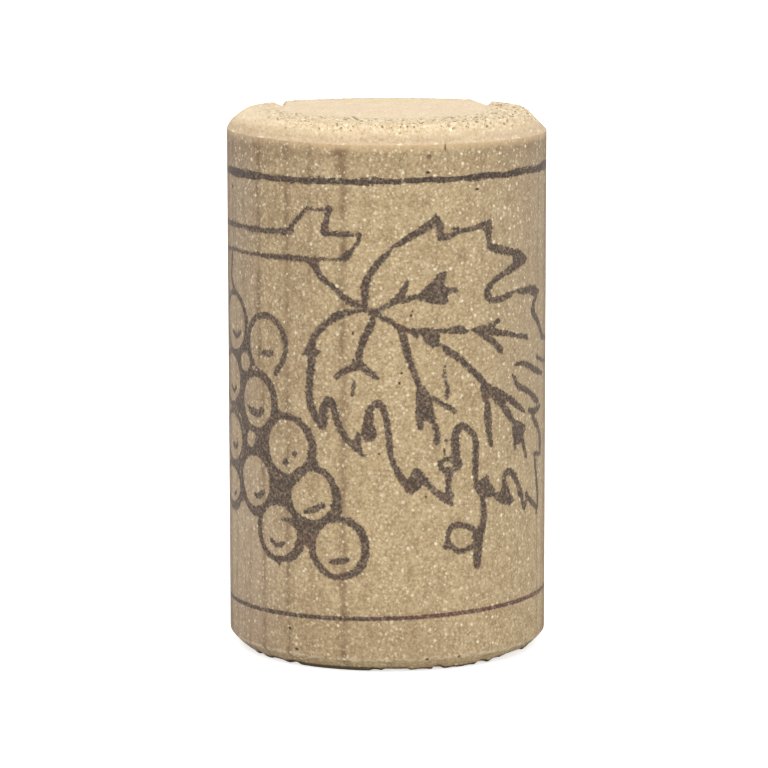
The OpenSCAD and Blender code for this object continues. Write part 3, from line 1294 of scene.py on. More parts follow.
    def shape(self) -> tuple[Array, dict[str, Array]]:
        """The finished corners and the marks for the finishes.

        Returns:
            The places, shape (n, 3), and named values per corner.
        """
        place, along = self.place, self.net.along
        top = along > self.profile.upper_rim
        _, _, out, up = self.profile.at(along)
        reach = np.maximum(np.hypot(place[:, 0], place[:, 1]), TINY)
        normal = np.column_stack([place[:, 0] / reach * out, place[:, 1] / reach * out, up])
        pit, pit_depth = self.pit_marks()
        pore_depth, pore_shade_and_scratch = self.pores()
        bulge = self.depths.bevel_bulge * smooth(-place[:, 0] / reach, 0.2, 0.95)
        bulge = bulge * np.sin(math.pi * self.bevel_share()) * top
        shaped = place + normal * (bulge - self.relief() - pit_depth - pore_depth)[:, None]
        shaped[:, :2] *= 1 + (self.shoulder() / reach)[:, None]
        near_rim = smooth(np.abs(along - self.profile.upper_rim), 1.6, 0.1)
        shaped[:, 2] += self.depths.left_rise * smooth(-place[:, 0], 2.0, self.radius) * near_rim
        rough = self.depths.nick_grain * Noise(0.3, 43).soft(place)
        for nick in self.nicks:
            cut = nick.surface(shaped, self.profile.flat_radius, self.height) - rough
            near = top & (self.nick_share(shaped) > 0)
            shaped[near, 2] = np.minimum(shaped[near, 2], cut[near])
        marks = {
            "ink": self.ink,
            "stain": self.stain_marks(),
            # Painted shade in the pits and the deep pores, and the scratch's darkening.
            "pit": np.maximum(pit, pore_shade_and_scratch),
            "pore": self.pore_share() * smooth(place[:, 0], -10.5, -6.0),
            "bevel": self.bevel_share(),
            "rim": along - self.profile.upper_rim,
            "foot": along - self.profile.bottom_edge,
        }
        return shaped, marks

    def zones(self) -> Array:
        """The finish of each triangle."""
        middle = self.net.along[self.net.faces].mean(axis=1)
        foam = (middle > self.profile.upper_rim) | (middle < self.profile.bottom_edge)
        return np.where(foam, Zone.FOAM.value, Zone.SKIN.value)


# ---------- nodes

Socket = bpy.types.NodeSocket


class Signal:
    """What a node gives, which takes part in sums like a number."""

    def __init__(self, sheet: "NodeSheet", socket: Socket) -> None:
        """Takes the sheet that further nodes go on, and the output that it stands for."""
        self.sheet = sheet
        self.socket = socket

    def __add__(self, other: "Value") -> "Signal":
        """Sum of the two."""
        return self.sheet.math("ADD", self, other)

    def __sub__(self, other: "Value") -> "Signal":
        """Difference of the two."""
        return self.sheet.math("SUBTRACT", self, other)

    def __mul__(self, other: "Value") -> "Signal":
        """Product of the two."""
        return self.sheet.math("MULTIPLY", self, other)

    def __abs__(self) -> "Signal":
        """Its size without the sign."""
        return self.sheet.math("ABSOLUTE", self)

    def scaled(self, factor: "Value", offset: "Value") -> "Signal":
        """It times a factor, plus an offset."""
        return self.sheet.math("MULTIPLY_ADD", self, factor, offset)

    def step(self, low: "Value", high: "Value", start: float = 0.0, end: float = 1.0) -> "Signal":
        """Smooth step from start at low to end at high.

        Args:
            low: Where the step starts; it may be the larger one.
            high: Where it ends.
            start: What it gives up to low.
            end: What it gives from high on.

        Returns:
            The stepped signal.
        """
        node = self.sheet.add("ShaderNodeMapRange", interpolation_type="SMOOTHSTEP")
        for name, given in zip(("Value", "From Min", "From Max", "To Min", "To Max"),
                               (self, low, high, start, end)):
            self.sheet.feed(node.inputs[name], given)
        return Signal(self.sheet, node.outputs["Result"])

    def stretched(self, x: float, y: float, z: float) -> "Signal":
        """A place with each of its directions scaled."""
        return self.sheet.vector("MULTIPLY", self, (x, y, z))


Value = Signal | float
Tint = Signal | Colour


class NodeSheet:
    """Short calls that add nodes to a tree and join them."""

    def __init__(self, tree: bpy.types.NodeTree) -> None:
        """Takes the tree that the nodes go into."""
        self.tree = tree

    def add(self, kind: str, **settings: object) -> bpy.types.Node:
        """Adds a node.

        Args:
            kind: Its type.
            **settings: Its properties.

        Returns:
            The node.
        """
        node = self.tree.nodes.new(kind)
        for name, value in settings.items():
            setattr(node, name, value)
        return node

    def feed(self, socket: Socket, value: object) -> None:
        """Links a signal to an input, or sets the input's value.

        Args:
            socket: The input.
            value: A signal, a number, a vector or a colour.
        """
        if isinstance(value, Signal):
            self.tree.links.new(value.socket, socket)
        elif socket.type == "RGBA":
            socket.default_value = (*value, 1.0)
        else:
            socket.default_value = value

    def made(self, kind: str, output: str, inputs: dict[str, object], **settings: object) -> Signal:
        """Adds a node and feeds it.

        Args:
            kind: Its type.
            output: The output that is wanted.
            inputs: What each input is fed, by its name.
            **settings: The node's properties.

        Returns:
            What the output gives.
        """
        node = self.add(kind, **settings)
        for name, value in inputs.items():
            self.feed(node.inputs[name], value)
        return Signal(self, node.outputs[output])

    def math(self, operation: str, *values: Value, clamp: bool = False) -> Signal:
        """Result of a Math node.

        Args:
            operation: What it does.
            *values: Its inputs.
            clamp: Whether the result is kept from 0 to 1.

        Returns:
            The result.
        """
        node = self.add("ShaderNodeMath", operation=operation, use_clamp=clamp)
        for socket, value in zip(node.inputs, values):
            self.feed(socket, value)
        return Signal(self, node.outputs[0])

    def vector(self, operation: str, first: Signal, second: object) -> Signal:
        """Result of a Vector Math node.

        Args:
            operation: What it does.
            first: Its first vector.
            second: Its second vector, or the scale.

        Returns:
            The result.
        """
        node = self.add("ShaderNodeVectorMath", operation=operation)
        self.feed(node.inputs[0], first)
        self.feed(node.inputs["Scale" if operation == "SCALE" else 1], second)
        return Signal(self, node.outputs["Vector"])

    def mix(self, share: Value, first: Tint, second: Tint, blend: str = "MIX") -> Signal:
        """Mix of two colours.

        Args:
            share: How much of the second there is.
            first: The first colour.
            second: The second colour.
            blend: How they are mixed.

        Returns:
            The mixed colour.
        """
        node = self.add("ShaderNodeMix", data_type="RGBA", blend_type=blend, clamp_result=True)
        colours = [socket for socket in node.inputs if socket.type == "RGBA"]
        for socket, value in zip((node.inputs["Factor"], *colours), (share, first, second)):
            self.feed(socket, value)
        return Signal(self, next(socket for socket in node.outputs if socket.type == "RGBA"))

    def mark(self, name: str) -> Signal:
        """A value that the mesh holds at each corner."""
        return self.made("ShaderNodeAttribute", "Fac", {}, attribute_name=name)

    def axes(self, place: Signal) -> list[Signal]:
        """The three numbers of a place."""
        node = self.add("ShaderNodeSeparateXYZ")
        self.feed(node.inputs[0], place)
        return [Signal(self, output) for output in node.outputs]

    def noise(self, place: Signal, scale: Value, detail: float, roughness: float = 0.5,
              output: str = "Fac") -> Signal:
        """Noise from 0 to 1; its scale is the number of waves in a millimetre."""
        inputs = {"Vector": place, "Scale": scale, "Detail": detail, "Roughness": roughness}
        return self.made("ShaderNodeTexNoise", output, inputs, noise_dimensions="3D")

    def rise(self, height: Signal, scale: float) -> Signal:
        """Noise of a value that changes with height only."""
        inputs = {"W": height, "Scale": scale, "Detail": 1.0}
        return self.made("ShaderNodeTexNoise", "Fac", inputs, noise_dimensions="1D")

    def group(self, tree: bpy.types.NodeTree, **values: object) -> dict[str, Signal]:
        """Places a node group.

        Args:
            tree: The group.
            **values: What its inputs are fed, by their names in small letters.

        Returns:
            What each of its outputs gives.
        """
        node = self.add("ShaderNodeGroup", node_tree=tree)
        for name, value in values.items():
            self.feed(node.inputs[name.capitalize()], value)
        return {output.name: Signal(self, output) for output in node.outputs}


class GroupSheet(NodeSheet):
    """The sheet of a new shader node group with named inputs and outputs."""

    def __init__(self, name: str, inputs: str, outputs: str) -> None:
        """Makes the group.

        Args:
            name: The group's name.
            inputs: Names of its inputs, which are numbers, but for the vector Place.
            outputs: Names of its outputs, which are numbers.
        """
        super().__init__(bpy.data.node_groups.new(name, "ShaderNodeTree"))
        for label in inputs.split():
            kind = "NodeSocketVector" if label == "Place" else "NodeSocketFloat"
            self.tree.interface.new_socket(name=label, in_out="INPUT", socket_type=kind)
        for label in outputs.split():
            self.tree.interface.new_socket(name=label, in_out="OUTPUT", socket_type="NodeSocketFloat")
        given = self.add("NodeGroupInput").outputs
        self.given = [Signal(self, given[label]) for label in inputs.split()]
        self.end = self.add("NodeGroupOutput")

    def give(self, **values: Signal) -> bpy.types.NodeTree:
        """Feeds the group's outputs, by their names, and returns the finished group."""
        for name, value in values.items():
            self.feed(self.end.inputs[name], value)
        return self.tree


class SurfaceEffects:
    """The node groups that the finishes share."""

    def __init__(self) -> None:
        """Builds each group once."""
        self.flecks = self._flecks()
        self.mottle = self._mottle()
        self.ring = self._ring()
        self.streak = self._streak()

    @staticmethod
    def _flecks() -> bpy.types.NodeTree:
        """Small round cells of uneven size, some of them comma-shaped: the painted glints and highlights, the
        pin specks and the shaded holes.

        Returns:
            The group.
        """
        sheet = GroupSheet("Foam flecks", "Place Density Radius Core Wobble", "Mask Brightness")
        place, density, radius, core, wobble = sheet.given
        swirl = sheet.noise(place, 3.2, 1.0, output="Color")
        offset = sheet.vector("SCALE", sheet.vector("SUBTRACT", swirl, (0.5, 0.5, 0.5)), wobble)
        cells = sheet.add("ShaderNodeTexVoronoi", voronoi_dimensions="3D", feature="F1")
        sheet.feed(cells.inputs["Vector"], sheet.vector("ADD", place, offset))
        sheet.feed(cells.inputs["Scale"], density)
        split = sheet.add("ShaderNodeSeparateColor")
        sheet.feed(split.inputs[0], Signal(sheet, cells.outputs["Color"]))
        reach = radius * density * Signal(sheet, split.outputs[0]).scaled(0.8, 0.45)
        mask = Signal(sheet, cells.outputs["Distance"]).step(reach * core, reach, 1.0, 0.0)
        glow = sheet.math("POWER", Signal(sheet, split.outputs[1]), 2.2)
        return sheet.give(Mask=mask, Brightness=mask * glow)

    @staticmethod
    def _mottle() -> bpy.types.NodeTree:
        """Uneven light and dark of the foam, around one half.

        Returns:
            The group.
        """
        sheet = GroupSheet("Foam mottle", "Place Broad Fine Contrast", "Value")
        place, broad, fine, contrast = sheet.given
        both = sheet.noise(place, fine, 2.0, 0.7).scaled(0.62, sheet.noise(place, broad, 3.0, 0.8) * 0.38)
        return sheet.give(Value=sheet.math("ADD", (both - 0.5) * contrast, 0.5, clamp=True))

    @staticmethod
    def _ring() -> bpy.types.NodeTree:
        """Distance to the edge of a printed line that runs round the side, below 0 inside it.

        Returns:
            The group.
        """
        sheet = GroupSheet("Printed ring", "Place Height Tilt Width", "Distance")
        place, height, tilt, width = sheet.given
        x, _, z = sheet.axes(place)
        return sheet.give(Distance=abs(z - x.scaled(tilt, height)) - width * 0.5)

    @staticmethod
    def _streak() -> bpy.types.NodeTree:
        """A soft, blotchy line that runs up the side, and how dark it is.

        Returns:
            The group.
        """
        sheet = GroupSheet("Side streak", "Blotch Around Height At Width Low High", "Mask")
        blotch, around, height, at, width, low, high = sheet.given
        up = at.scaled(7.3, height)
        gap = (sheet.rise(up, 0.3) - 0.5).scaled(0.5, around - at)
        far = sheet.math("DIVIDE", gap, width * blotch.scaled(0.8, 0.1))
        shape = sheet.math("EXPONENT", far * far * -1.0)
        patches = sheet.rise(up, 0.6).step(0.3, 0.7, 0.1, 0.6)
        level = sheet.math("ADD", blotch.step(0.3, 0.7, 0.0, 0.6), patches, clamp=True)
        ends = (high - height).step(-1.0, 1.0) * (height - low).step(-1.0, 1.0)
        return sheet.give(Mask=shape * level * ends)


class FinishSheet(NodeSheet):
    """The sheet of a material, with the shared effects and the place on the object at hand."""

    def __init__(self, tree: bpy.types.NodeTree, effects: SurfaceEffects) -> None:
        """Takes the material's tree and the shared effects."""
        super().__init__(tree)
        self.effects = effects
        place = Signal(self, self.add("ShaderNodeTexCoord").outputs["Object"])
        self.place = self.vector("SCALE", place, 1 / MM)
        self.x, self.y, self.z = self.axes(self.place)


class Coat:
    """A colour that is built up in layers."""

    def __init__(self, sheet: NodeSheet, share: Value, first: Tint, second: Tint) -> None:
        """Starts with a mix of two colours."""
        self.sheet = sheet
        self.colour = sheet.mix(share, first, second)

    def add(self, share: Value, tint: Tint, blend: str = "MIX") -> None:
        """Lays a tint over the colour so far."""
        self.colour = self.sheet.mix(share, self.colour, tint, blend)


@dataclass(frozen=True)
class Cells:
    """Round cells of one size and how strongly they show.

    The density is in cells per millimetre, the core is the fully bright share of the radius, and the wobble
    bends the round shape. Each cell shows with the veil, and the brightest ones show by the glow besides.
    """

    density: float
    radius: Value
    core: float
    wobble: float
    veil: float
    glow: float

    def show(self, sheet: FinishSheet, place: Signal) -> Signal:
        """How strongly the cells show at a place."""
        made = sheet.group(sheet.effects.flecks, place=place, density=self.density, radius=self.radius,
                           core=self.core, wobble=self.wobble)
        return made["Mask"].scaled(self.veil, made["Brightness"] * self.glow)


@dataclass(frozen=True)
class SideShade:
    """A painted shade and sheen of the side towards a silhouette, which comes in across it, and more or less
    strongly up it.

    Attributes:
        tint: The colour.
        across: Places to the right of the axis where it starts and is full.
        up: Two heights, and how strong it is at each.
    """

    tint: Colour
    across: Point
    up: tuple[float, float, float, float]


@dataclass(frozen=True)
class Finish:
    """What both finishes have: a name, and the shader's plain values."""

    name: str = "finish"
    roughness: float = 0.6
    specular: float = 0.3
    bump_depth: float = 0.03

    def paint(self, sheet: FinishSheet) -> tuple[Signal, Signal, Signal]:
        """The colour, the roughness and the height of the fine relief."""
        raise NotImplementedError

    def material(self, effects: SurfaceEffects) -> bpy.types.Material:
        """Builds the material.

        Args:
            effects: The shared node groups.

        Returns:
            The material.
        """
        material = bpy.data.materials.new(self.name)
        material.use_nodes = True
        sheet = FinishSheet(material.node_tree, effects)
        colour, rough, height = self.paint(sheet)
        inputs = {"Distance": self.bump_depth * MM, "Strength": 1.0, "Height": height}
        shader = material.node_tree.nodes["Principled BSDF"]
        shader.inputs["Specular IOR Level"].default_value = self.specular
        sheet.feed(shader.inputs["Base Color"], colour)
        sheet.feed(shader.inputs["Roughness"], rough)
        sheet.feed(shader.inputs["Normal"], sheet.made("ShaderNodeBump", "Normal", inputs))
        return material


# Greyer brown painted where the side turns away towards the silhouettes: painted shade and sheen.
SILHOUETTE_SHADE = srgb(158, 139, 120)


@dataclass(frozen=True)
class SkinFinish(Finish):
    """The tan skin of the side with its streaks, pits and brown print, and painted glints, highlight and
    shade.
    """

    name: str = "printed_skin"
    roughness: float = 0.62
    light: Colour = srgb(204, 182, 143)
    dark: Colour = srgb(152, 127, 92)
    # Painted shade: the left of the side darker and pinker; the side shades below are painted shade and sheen
    # towards the silhouettes.
    left_shade: Colour = srgb(160, 137, 106)
    side_shades: tuple[SideShade, ...] = (
        SideShade(SILHOUETTE_SHADE, (-8.0, -10.0), (8.0, 22.0, 0.15, 0.5)),
        SideShade(srgb(174, 154, 134), (-5.5, -9.5), (20.0, 10.0, 0.0, 0.45)),
        SideShade(SILHOUETTE_SHADE, (5.0, 11.0), (6.0, 26.0, 0.1, 0.42)),
    )
    # Brown of the streaks and stains, also laid on as painted shade under the rim, at the foot and at grazing
    # angles.
    streak: Colour = srgb(112, 86, 60)
    # Cream of the painted glints on the side and of the painted highlight along the lower rim.
    highlight_cream: Colour = srgb(242, 228, 194)
    pin: Colour = srgb(120, 96, 68)
    # Brown of the painted shade in the pits.
    pit: Colour = srgb(84, 60, 38)
    ink: Colour = srgb(66, 54, 46)
    ink_deep: Colour = srgb(46, 36, 34)
    ink_red: Colour = srgb(88, 54, 48)
    ink_worn: Colour = srgb(132, 110, 92)
    # Dark of the painted shade along the bottom edge.
    lip: Colour = srgb(84, 72, 54)
    rim: Colour = srgb(218, 186, 143)
    streaks: tuple[Streak, ...] = (
        Streak(-14.3, .6, .7, 27, 38), Streak(-13.7, .35, .6), Streak(-11.5, .4, .6, -2, 9),
        Streak(-12.3, .4, .3), Streak(-10.2, .5, 1, 20, 38), Streak(-9.8, .45, .9, -2, 22),
        Streak(-7.4, .42, .9), Streak(-5.5, .35, .6, 26, 38), Streak(-5.4, .35, .3, 0, 26),
        Streak(-3.05, .55, 1), Streak(0, .3, .3, 27, 38), Streak(13.7, .35, .6),
        Streak(12, .4, .4, 26, 38), Streak(15.6, .5, .7), Streak(-15.5, .5, .8),
    )
    pins: Cells = Cells(2.6, 0.08, 0.3, 0.1, 0.0, 0.75)
    bubble_glints: tuple[Cells, ...] = (
        Cells(4.2, 0.11, 0.4, 0.1, 0.0, 0.55),
        Cells(2.7, 0.15, 0.3, 0.16, 0.22, 0.6),
        Cells(1.5, 0.14, 0.4, 0.22, 0.14, 0.85),
    )
    radius: float = 11.25
    foot_highlight_line: float = 1.4
    upper_ring: float = 34.2
    lower_ring: float = 3.95

    def paint(self, sheet: FinishSheet) -> tuple[Signal, Signal, Signal]:
        """Lays the skin's tones, marks, print, painted glints and edges over each other, with painted shade
        and highlight.

        Args:
            sheet: The material's sheet.

        Returns:
            The colour, the roughness and the height of the fine relief.
        """
        place = sheet.place
        mottle = sheet.group(sheet.effects.mottle, place=place, broad=0.9, fine=5.0, contrast=3.8)["Value"]
        grainy = sheet.noise(place.stretched(1.6, 1.6, 0.12), 1.0, 3.0, 0.6)
        worn = sheet.noise(place, 5.0, 3.0, 0.75)
        ink = self._ink(sheet)
        coat = Coat(sheet, mottle, self.dark, self.light)
        self._tones(sheet, coat, mottle, grainy)
        coat.add(self.pins.show(sheet, place), self.pin)
        coat.add(ink, self._ink_colour(sheet, worn))
        # Painted glints of the skin's small bubbles, a little stronger to the right and near the top, weaker
        # at the silhouettes and on the ink.
        glint_share: Value = 0.0
        for cells in self.bubble_glints:
            glint_share = sheet.math("MAXIMUM", glint_share, cells.show(sheet, place), clamp=True)
        glint_strength = sheet.x.step(-1.0, 7.0, 0.95, 1.15) + sheet.z.step(29.0, 35.0, 0.0, 0.2)
        glint_strength = glint_strength * abs(sheet.x).step(8.8, 10.8, 1.0, 0.75)
        coat.add(sheet.math("MULTIPLY", glint_share * ink.scaled(-0.78, 1.0), glint_strength, clamp=True), self.highlight_cream)
        self._edges(sheet, coat, grainy, worn)
        rough = ink.scaled(-0.1, mottle.scaled(0.16, self.roughness - 0.08))
        return coat.colour, rough, grainy.scaled(-0.5, mottle.scaled(0.6, glint_share * 0.6))

    def _tones(self, sheet: FinishSheet, coat: Coat, mottle: Signal, grainy: Signal) -> None:
        """Lays on the painted shade and sheen of the sides, the painted shade under the rim and at the foot,
        streaks and stains.

        Args:
            sheet: The material's sheet.
            coat: The colour so far.
            mottle: The skin's light and dark.
            grainy: The fine lines up the side.
        """
        x, z, rim = sheet.x, sheet.z, sheet.mark("rim")
        # Painted shade on the left of the side, and painted shade and sheen towards both silhouettes.
        left_shade_share = x.step(-1.0, -8.0) * z.step(4.0, 20.0, 0.6, 1.0)
        coat.add(left_shade_share * 0.6, self.left_shade)
        for side in self.side_shades:
            coat.add(x.step(*side.across) * z.step(*side.up), side.tint)
        coat.add(1.0, ((mottle - 0.5) * 0.42).scaled(left_shade_share, 1.0), "MULTIPLY")
        coat.add(grainy.step(0.56, 0.78, 0.0, 0.3), self.streak)
        # Painted shade under the upper rim, stronger towards the sides, in the streaks' brown.
        edge = abs(x).step(4.0, 11.0, 0.6, 1.0) * rim.step(0.0, -0.7)
        coat.add(rim.step(-3.2, 0.0, 0.0, 0.3) * edge, self.streak)
        # Painted shade towards the foot, in the streaks' brown, weaker to the right of the front.
        low = z.step(7.0, 2.8, 0.0, 0.18) * z.step(0.5, 1.4)
        coat.add(low * x.step(6.0, 3.0, 0.1, 1.0), self.streak)
        marked = sheet.math("MAXIMUM", sheet.mark("stain"), self._streaks(sheet))
        coat.add(marked * 0.8, self.streak)

    def _edges(self, sheet: FinishSheet, coat: Coat, grainy: Signal, worn: Signal) -> None:
        """Lays on the foot's painted highlight line, the soft rim, the painted shade along the bottom edge
        and in the pits, and the painted grazing shade.

        Args:
            sheet: The material's sheet.
            coat: The colour so far.
            grainy: The fine lines up the side.
            worn: The fine wear.
        """
        x, rim, foot = sheet.x, sheet.mark("rim"), sheet.mark("foot")
        # Painted highlight along the lower rim, in patches.
        patchy = sheet.noise(sheet.place, 2.2, 3.0, 0.7).step(0.35, 0.65, 0.0, 0.5)
        coat.add(abs(foot - self.foot_highlight_line).step(0.28, 0.0) * patchy, self.highlight_cream)
        soft_rim = rim.step(-0.6, 0.0, 0.0, 0.65) * grainy.step(0.3, 0.7, 0.6, 1.2)
        coat.add(soft_rim * x.step(-9.0, -2.0, 0.65, 1.0), self.rim)
        # Painted shade along the bottom edge: a ragged dark band, wider just left of the front.
        whole = x.step(-8.0, -6.0) * x.step(0.5, -1.5)
        ragged = whole.scaled(-0.2, (worn - 0.5).scaled(0.3, foot))
        coat.add(ragged.step(0.38, 0.18, 0.0, 0.88), self.lip)
        # Painted shade in the pits.
        coat.add(sheet.mark("pit"), self.pit)
        # Painted shade at grazing angles, towards the silhouettes.
        grazing_shade = sheet.made("ShaderNodeLayerWeight", "Facing", {})
        coat.add(grazing_shade.step(0.74, 0.92, 0.0, 0.35), self.streak)

    def _streaks(self, sheet: FinishSheet) -> Signal:
        """How dark the lines up the side are.

        Args:
            sheet: The material's sheet.

        Returns:
            The darkness, from 0 to 1.
        """
        around = sheet.math("ARCTAN2", sheet.x, sheet.y * -1.0) * self.radius
        blotch = sheet.noise(sheet.place, 1.8, 2.0, 0.6)
        total: Value = 0.0
        for streak in self.streaks:
            made = sheet.group(sheet.effects.streak, blotch=blotch, around=around, height=sheet.z,
                               at=streak.s, width=streak.width, low=streak.low, high=streak.high)
            total = sheet.math("MAXIMUM", total, made["Mask"] * streak.strength)
        return total

    def _ink_colour(self, sheet: FinishSheet, worn: Signal) -> Signal:
        """The ink's brown, which is redder at the lower right, darker in the upper ring and worn in spots.

        Args:
            sheet: The material's sheet.
            worn: The fine wear.

        Returns:
            The colour.
        """
        redness = sheet.z.step(8.0, 6.0) * sheet.x.step(-2.0, 3.0)
        patch = sheet.noise(sheet.place, 0.45, 2.0).step(0.54, 0.68, 0.0, 0.4)
        coat = Coat(sheet, sheet.math("MAXIMUM", redness, patch), self.ink, self.ink_red)
        ringed = abs(sheet.z - self.upper_ring).step(0.8, 0.6)
        coat.add(ringed * 0.45, self.ink_deep)
        coat.add(worn.step(0.44, 0.68) * ringed.scaled(-0.35, 1.0), self.ink_worn)
        return coat.colour

    def _ink(self, sheet: FinishSheet) -> Signal:
        """How much ink there is, with fuzzy edges and small gaps.

        Args:
            sheet: The material's sheet.

        Returns:
            The ink's share, from 0 to 1.
        """
        place, ring = sheet.place, sheet.effects.ring
        width = (sheet.noise(place, 0.35, 1.0) - 0.5).scaled(0.5, abs(sheet.x).step(3.0, 11.0, 0.46, 0.56))
        upper = sheet.group(ring, place=place, height=self.upper_ring, tilt=0.013, width=width)["Distance"]
        lower = sheet.group(ring, place=place, height=self.lower_ring, tilt=0.026, width=0.3)["Distance"]
        fray = sheet.noise(place, 4.5, 4.0, 0.8) - 0.5
        lined = sheet.noise(place.stretched(0.7, 0.7, 5.0), 1.0, 3.0, 0.7) - 0.5
        lined = fray.scaled(0.48, lined.scaled(0.5, upper))
        away = sheet.math("MINIMUM", fray.scaled(0.6, sheet.mark("ink")), lined)
        gaps = sheet.noise(place, 7.0, 1.0).step(0.66, 0.82, 0.96, 0.6)
        thin = fray.scaled(0.25, lower).step(0.06, -0.05, 0.0, 0.96)
        return sheet.math("MAXIMUM", away.step(0.06, -0.06) * gaps, thin)


@dataclass(frozen=True)
class FoamFinish(Finish):
    """The pale cut foam of the ends: smooth in the middle, with open pores towards the edge."""

    name: str = "cut_foam"
    roughness: float = 0.7
    specular: float = 0.25
    light: Colour = srgb(244, 226, 196)
    dark: Colour = srgb(222, 199, 164)
    open_dark: Colour = srgb(204, 177, 130)
    bevel: Colour = srgb(210, 186, 151)
    bevel_dark: Colour = srgb(178, 150, 114)
    bevel_pale: Colour = srgb(226, 205, 176)
    # Cream of the painted highlight on the pore walls.
    wall: Colour = srgb(252, 238, 204)
    # Brown of the painted shade in the pores' holes and of the scratch.
    pore_shade_and_scratch: Colour = srgb(122, 94, 52)
    # Cream of the painted glints along the rim.
    rim_glint: Colour = srgb(255, 244, 216)

    def paint(self, sheet: FinishSheet) -> tuple[Signal, Signal, Signal]:
        """Lays the foam's tones, the bevel, the open pores with painted shade and highlight, and the painted
        glints along the rim over each other.

        Args:
            sheet: The material's sheet.

        Returns:
            The colour, the roughness and the height of the fine relief.
        """
        place, bevel, rim, pore = sheet.place, sheet.mark("bevel"), sheet.mark("rim"), sheet.mark("pore")
        drawn = place.stretched(1.0, 0.32, 1.0)
        mottle = sheet.group(sheet.effects.mottle, place=drawn, broad=0.9, fine=4.5, contrast=3.6)["Value"]
        curls = sheet.noise(drawn, 4.4, 2.0, 0.7)
        saw = sheet.noise(place.stretched(0.3, 0.8, 1.0), 1.0, 4.0, 0.75)
        grit = sheet.noise(place.stretched(1.0, 0.14, 1.0), 7.0, 1.0)
        aside = sheet.x.step(4.0, 8.5)
        coat = Coat(sheet, mottle, self.dark, self.light)
        coat.add(saw.step(0.46, 0.72, 0.0, 0.35), self.dark)
        coat.add(grit.step(0.4, 0.62, 0.0, 0.3), self.dark)
        uneven = sheet.math("MULTIPLY_ADD", grit - 0.5, 1.6, mottle, clamp=True)
        slope = Coat(sheet, uneven, self.bevel_dark, self.bevel)
        # Painted light: the bevel paler towards the right, and paler also just above the rim.
        slope.add(aside * 0.15, self.bevel_pale)
        slope.add(rim.step(0.6, 0.05, 0.0, 0.35), self.bevel_pale)
        lower = bevel.step(0.15, 0.9, 0.0, 0.95)
        coat.add(sheet.math("MULTIPLY_ADD", curls - 0.5, lower, lower, clamp=True), slope.colour)
        coat.add(curls.step(0.54, 0.4, 0.0, 0.8) * pore, self.open_dark)
        steep = bevel.step(0.0, 0.12)
        # Painted highlight on the walls between the open pores, stronger towards the right.
        wall_glint_cells = Cells(3.0, steep.scaled(-0.04, 0.2), 0.3, 0.25, 0.35, 0.8).show(sheet, drawn)
        wall_highlight = sheet.math("MULTIPLY", wall_glint_cells, pore.scaled(0.8, aside.scaled(0.3, 0.2)), clamp=True)
        coat.add(wall_highlight, self.wall)
        # Painted shade: small dark holes among the open pores.
        holes = Cells(4.2, steep.scaled(-0.045, 0.135), 0.4, 0.2, 0.0, 1.0)
        dark = holes.show(sheet, place.stretched(1.0, 0.34, 1.0)).step(0.0, 0.3) * pore
        coat.add(dark * 0.75, self.pore_shade_and_scratch)
        # Painted glints along the rim.
        rim_glints = sheet.noise(place.stretched(0.9, 0.9, 0.4), 1.0, 2.0, 0.6).step(0.6, 0.68, 0.0, 0.75)
        coat.add(abs(rim - 0.05).step(0.12, 0.03) * rim_glints, self.rim_glint)
        # Painted shade in the deep pores, and the darkening of the scratch.
        coat.add(sheet.mark("pit"), self.pore_shade_and_scratch)
        rough = mottle.scaled(0.14, self.roughness - 0.07)
        return coat.colour, rough, curls.scaled(pore.scaled(2.0, 0.6), mottle + wall_highlight)


# ---------- cork

@dataclass
class Cork:
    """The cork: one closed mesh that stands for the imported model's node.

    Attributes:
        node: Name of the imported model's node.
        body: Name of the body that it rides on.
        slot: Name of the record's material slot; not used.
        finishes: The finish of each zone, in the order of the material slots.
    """

    node: str = "cork"
    body: str = "root"
    slot: str = "foam"
    finishes: tuple[tuple[Zone, Finish], ...] = ((Zone.SKIN, SkinFinish()), (Zone.FOAM, FoamFinish()))

    def build(self) -> bpy.types.Object:
        """Builds the mesh with its marks and finishes.

        Returns:
            The finished piece, riding on its body.
        """
        low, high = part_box(self.node)
        width = min(high.x - low.x, high.y - low.y)
        surface = CorkSurface(radius=width / 2 / MM, height=(high.z - low.z) / MM)
        surface.refine()
        places, marks = surface.shape()
        mesh = bpy.data.meshes.new("cork_stopper")
        mesh.from_pydata((places * MM).tolist(), [], surface.net.faces.tolist())
        mesh.polygons.foreach_set("material_index", surface.zones().astype(np.int32))
        mesh.polygons.foreach_set("use_smooth", np.ones(len(mesh.polygons), bool))
        for name, values in marks.items():
            layer = mesh.attributes.new(name, "FLOAT", "POINT")
            layer.data.foreach_set("value", values.astype(np.float32))
        mesh.update()
        piece = bpy.data.objects.new("cork_stopper", mesh)
        bpy.context.scene.collection.objects.link(piece)
        self.dress(piece)
        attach(piece, self.body)
        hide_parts(self.node)
        return piece

    def dress(self, piece: bpy.types.Object) -> None:
        """Gives the piece its finishes, in the order of the zones.

        Args:
            piece: The cork's object.
        """
        effects = SurfaceEffects()
        for zone, finish in sorted(self.finishes, key=lambda item: item[0].value):
            piece.data.materials.append(finish.material(effects))
            LOG.info("%s: finish %s in slot %d", piece.name, finish.name, zone.value)


# ---------- studio

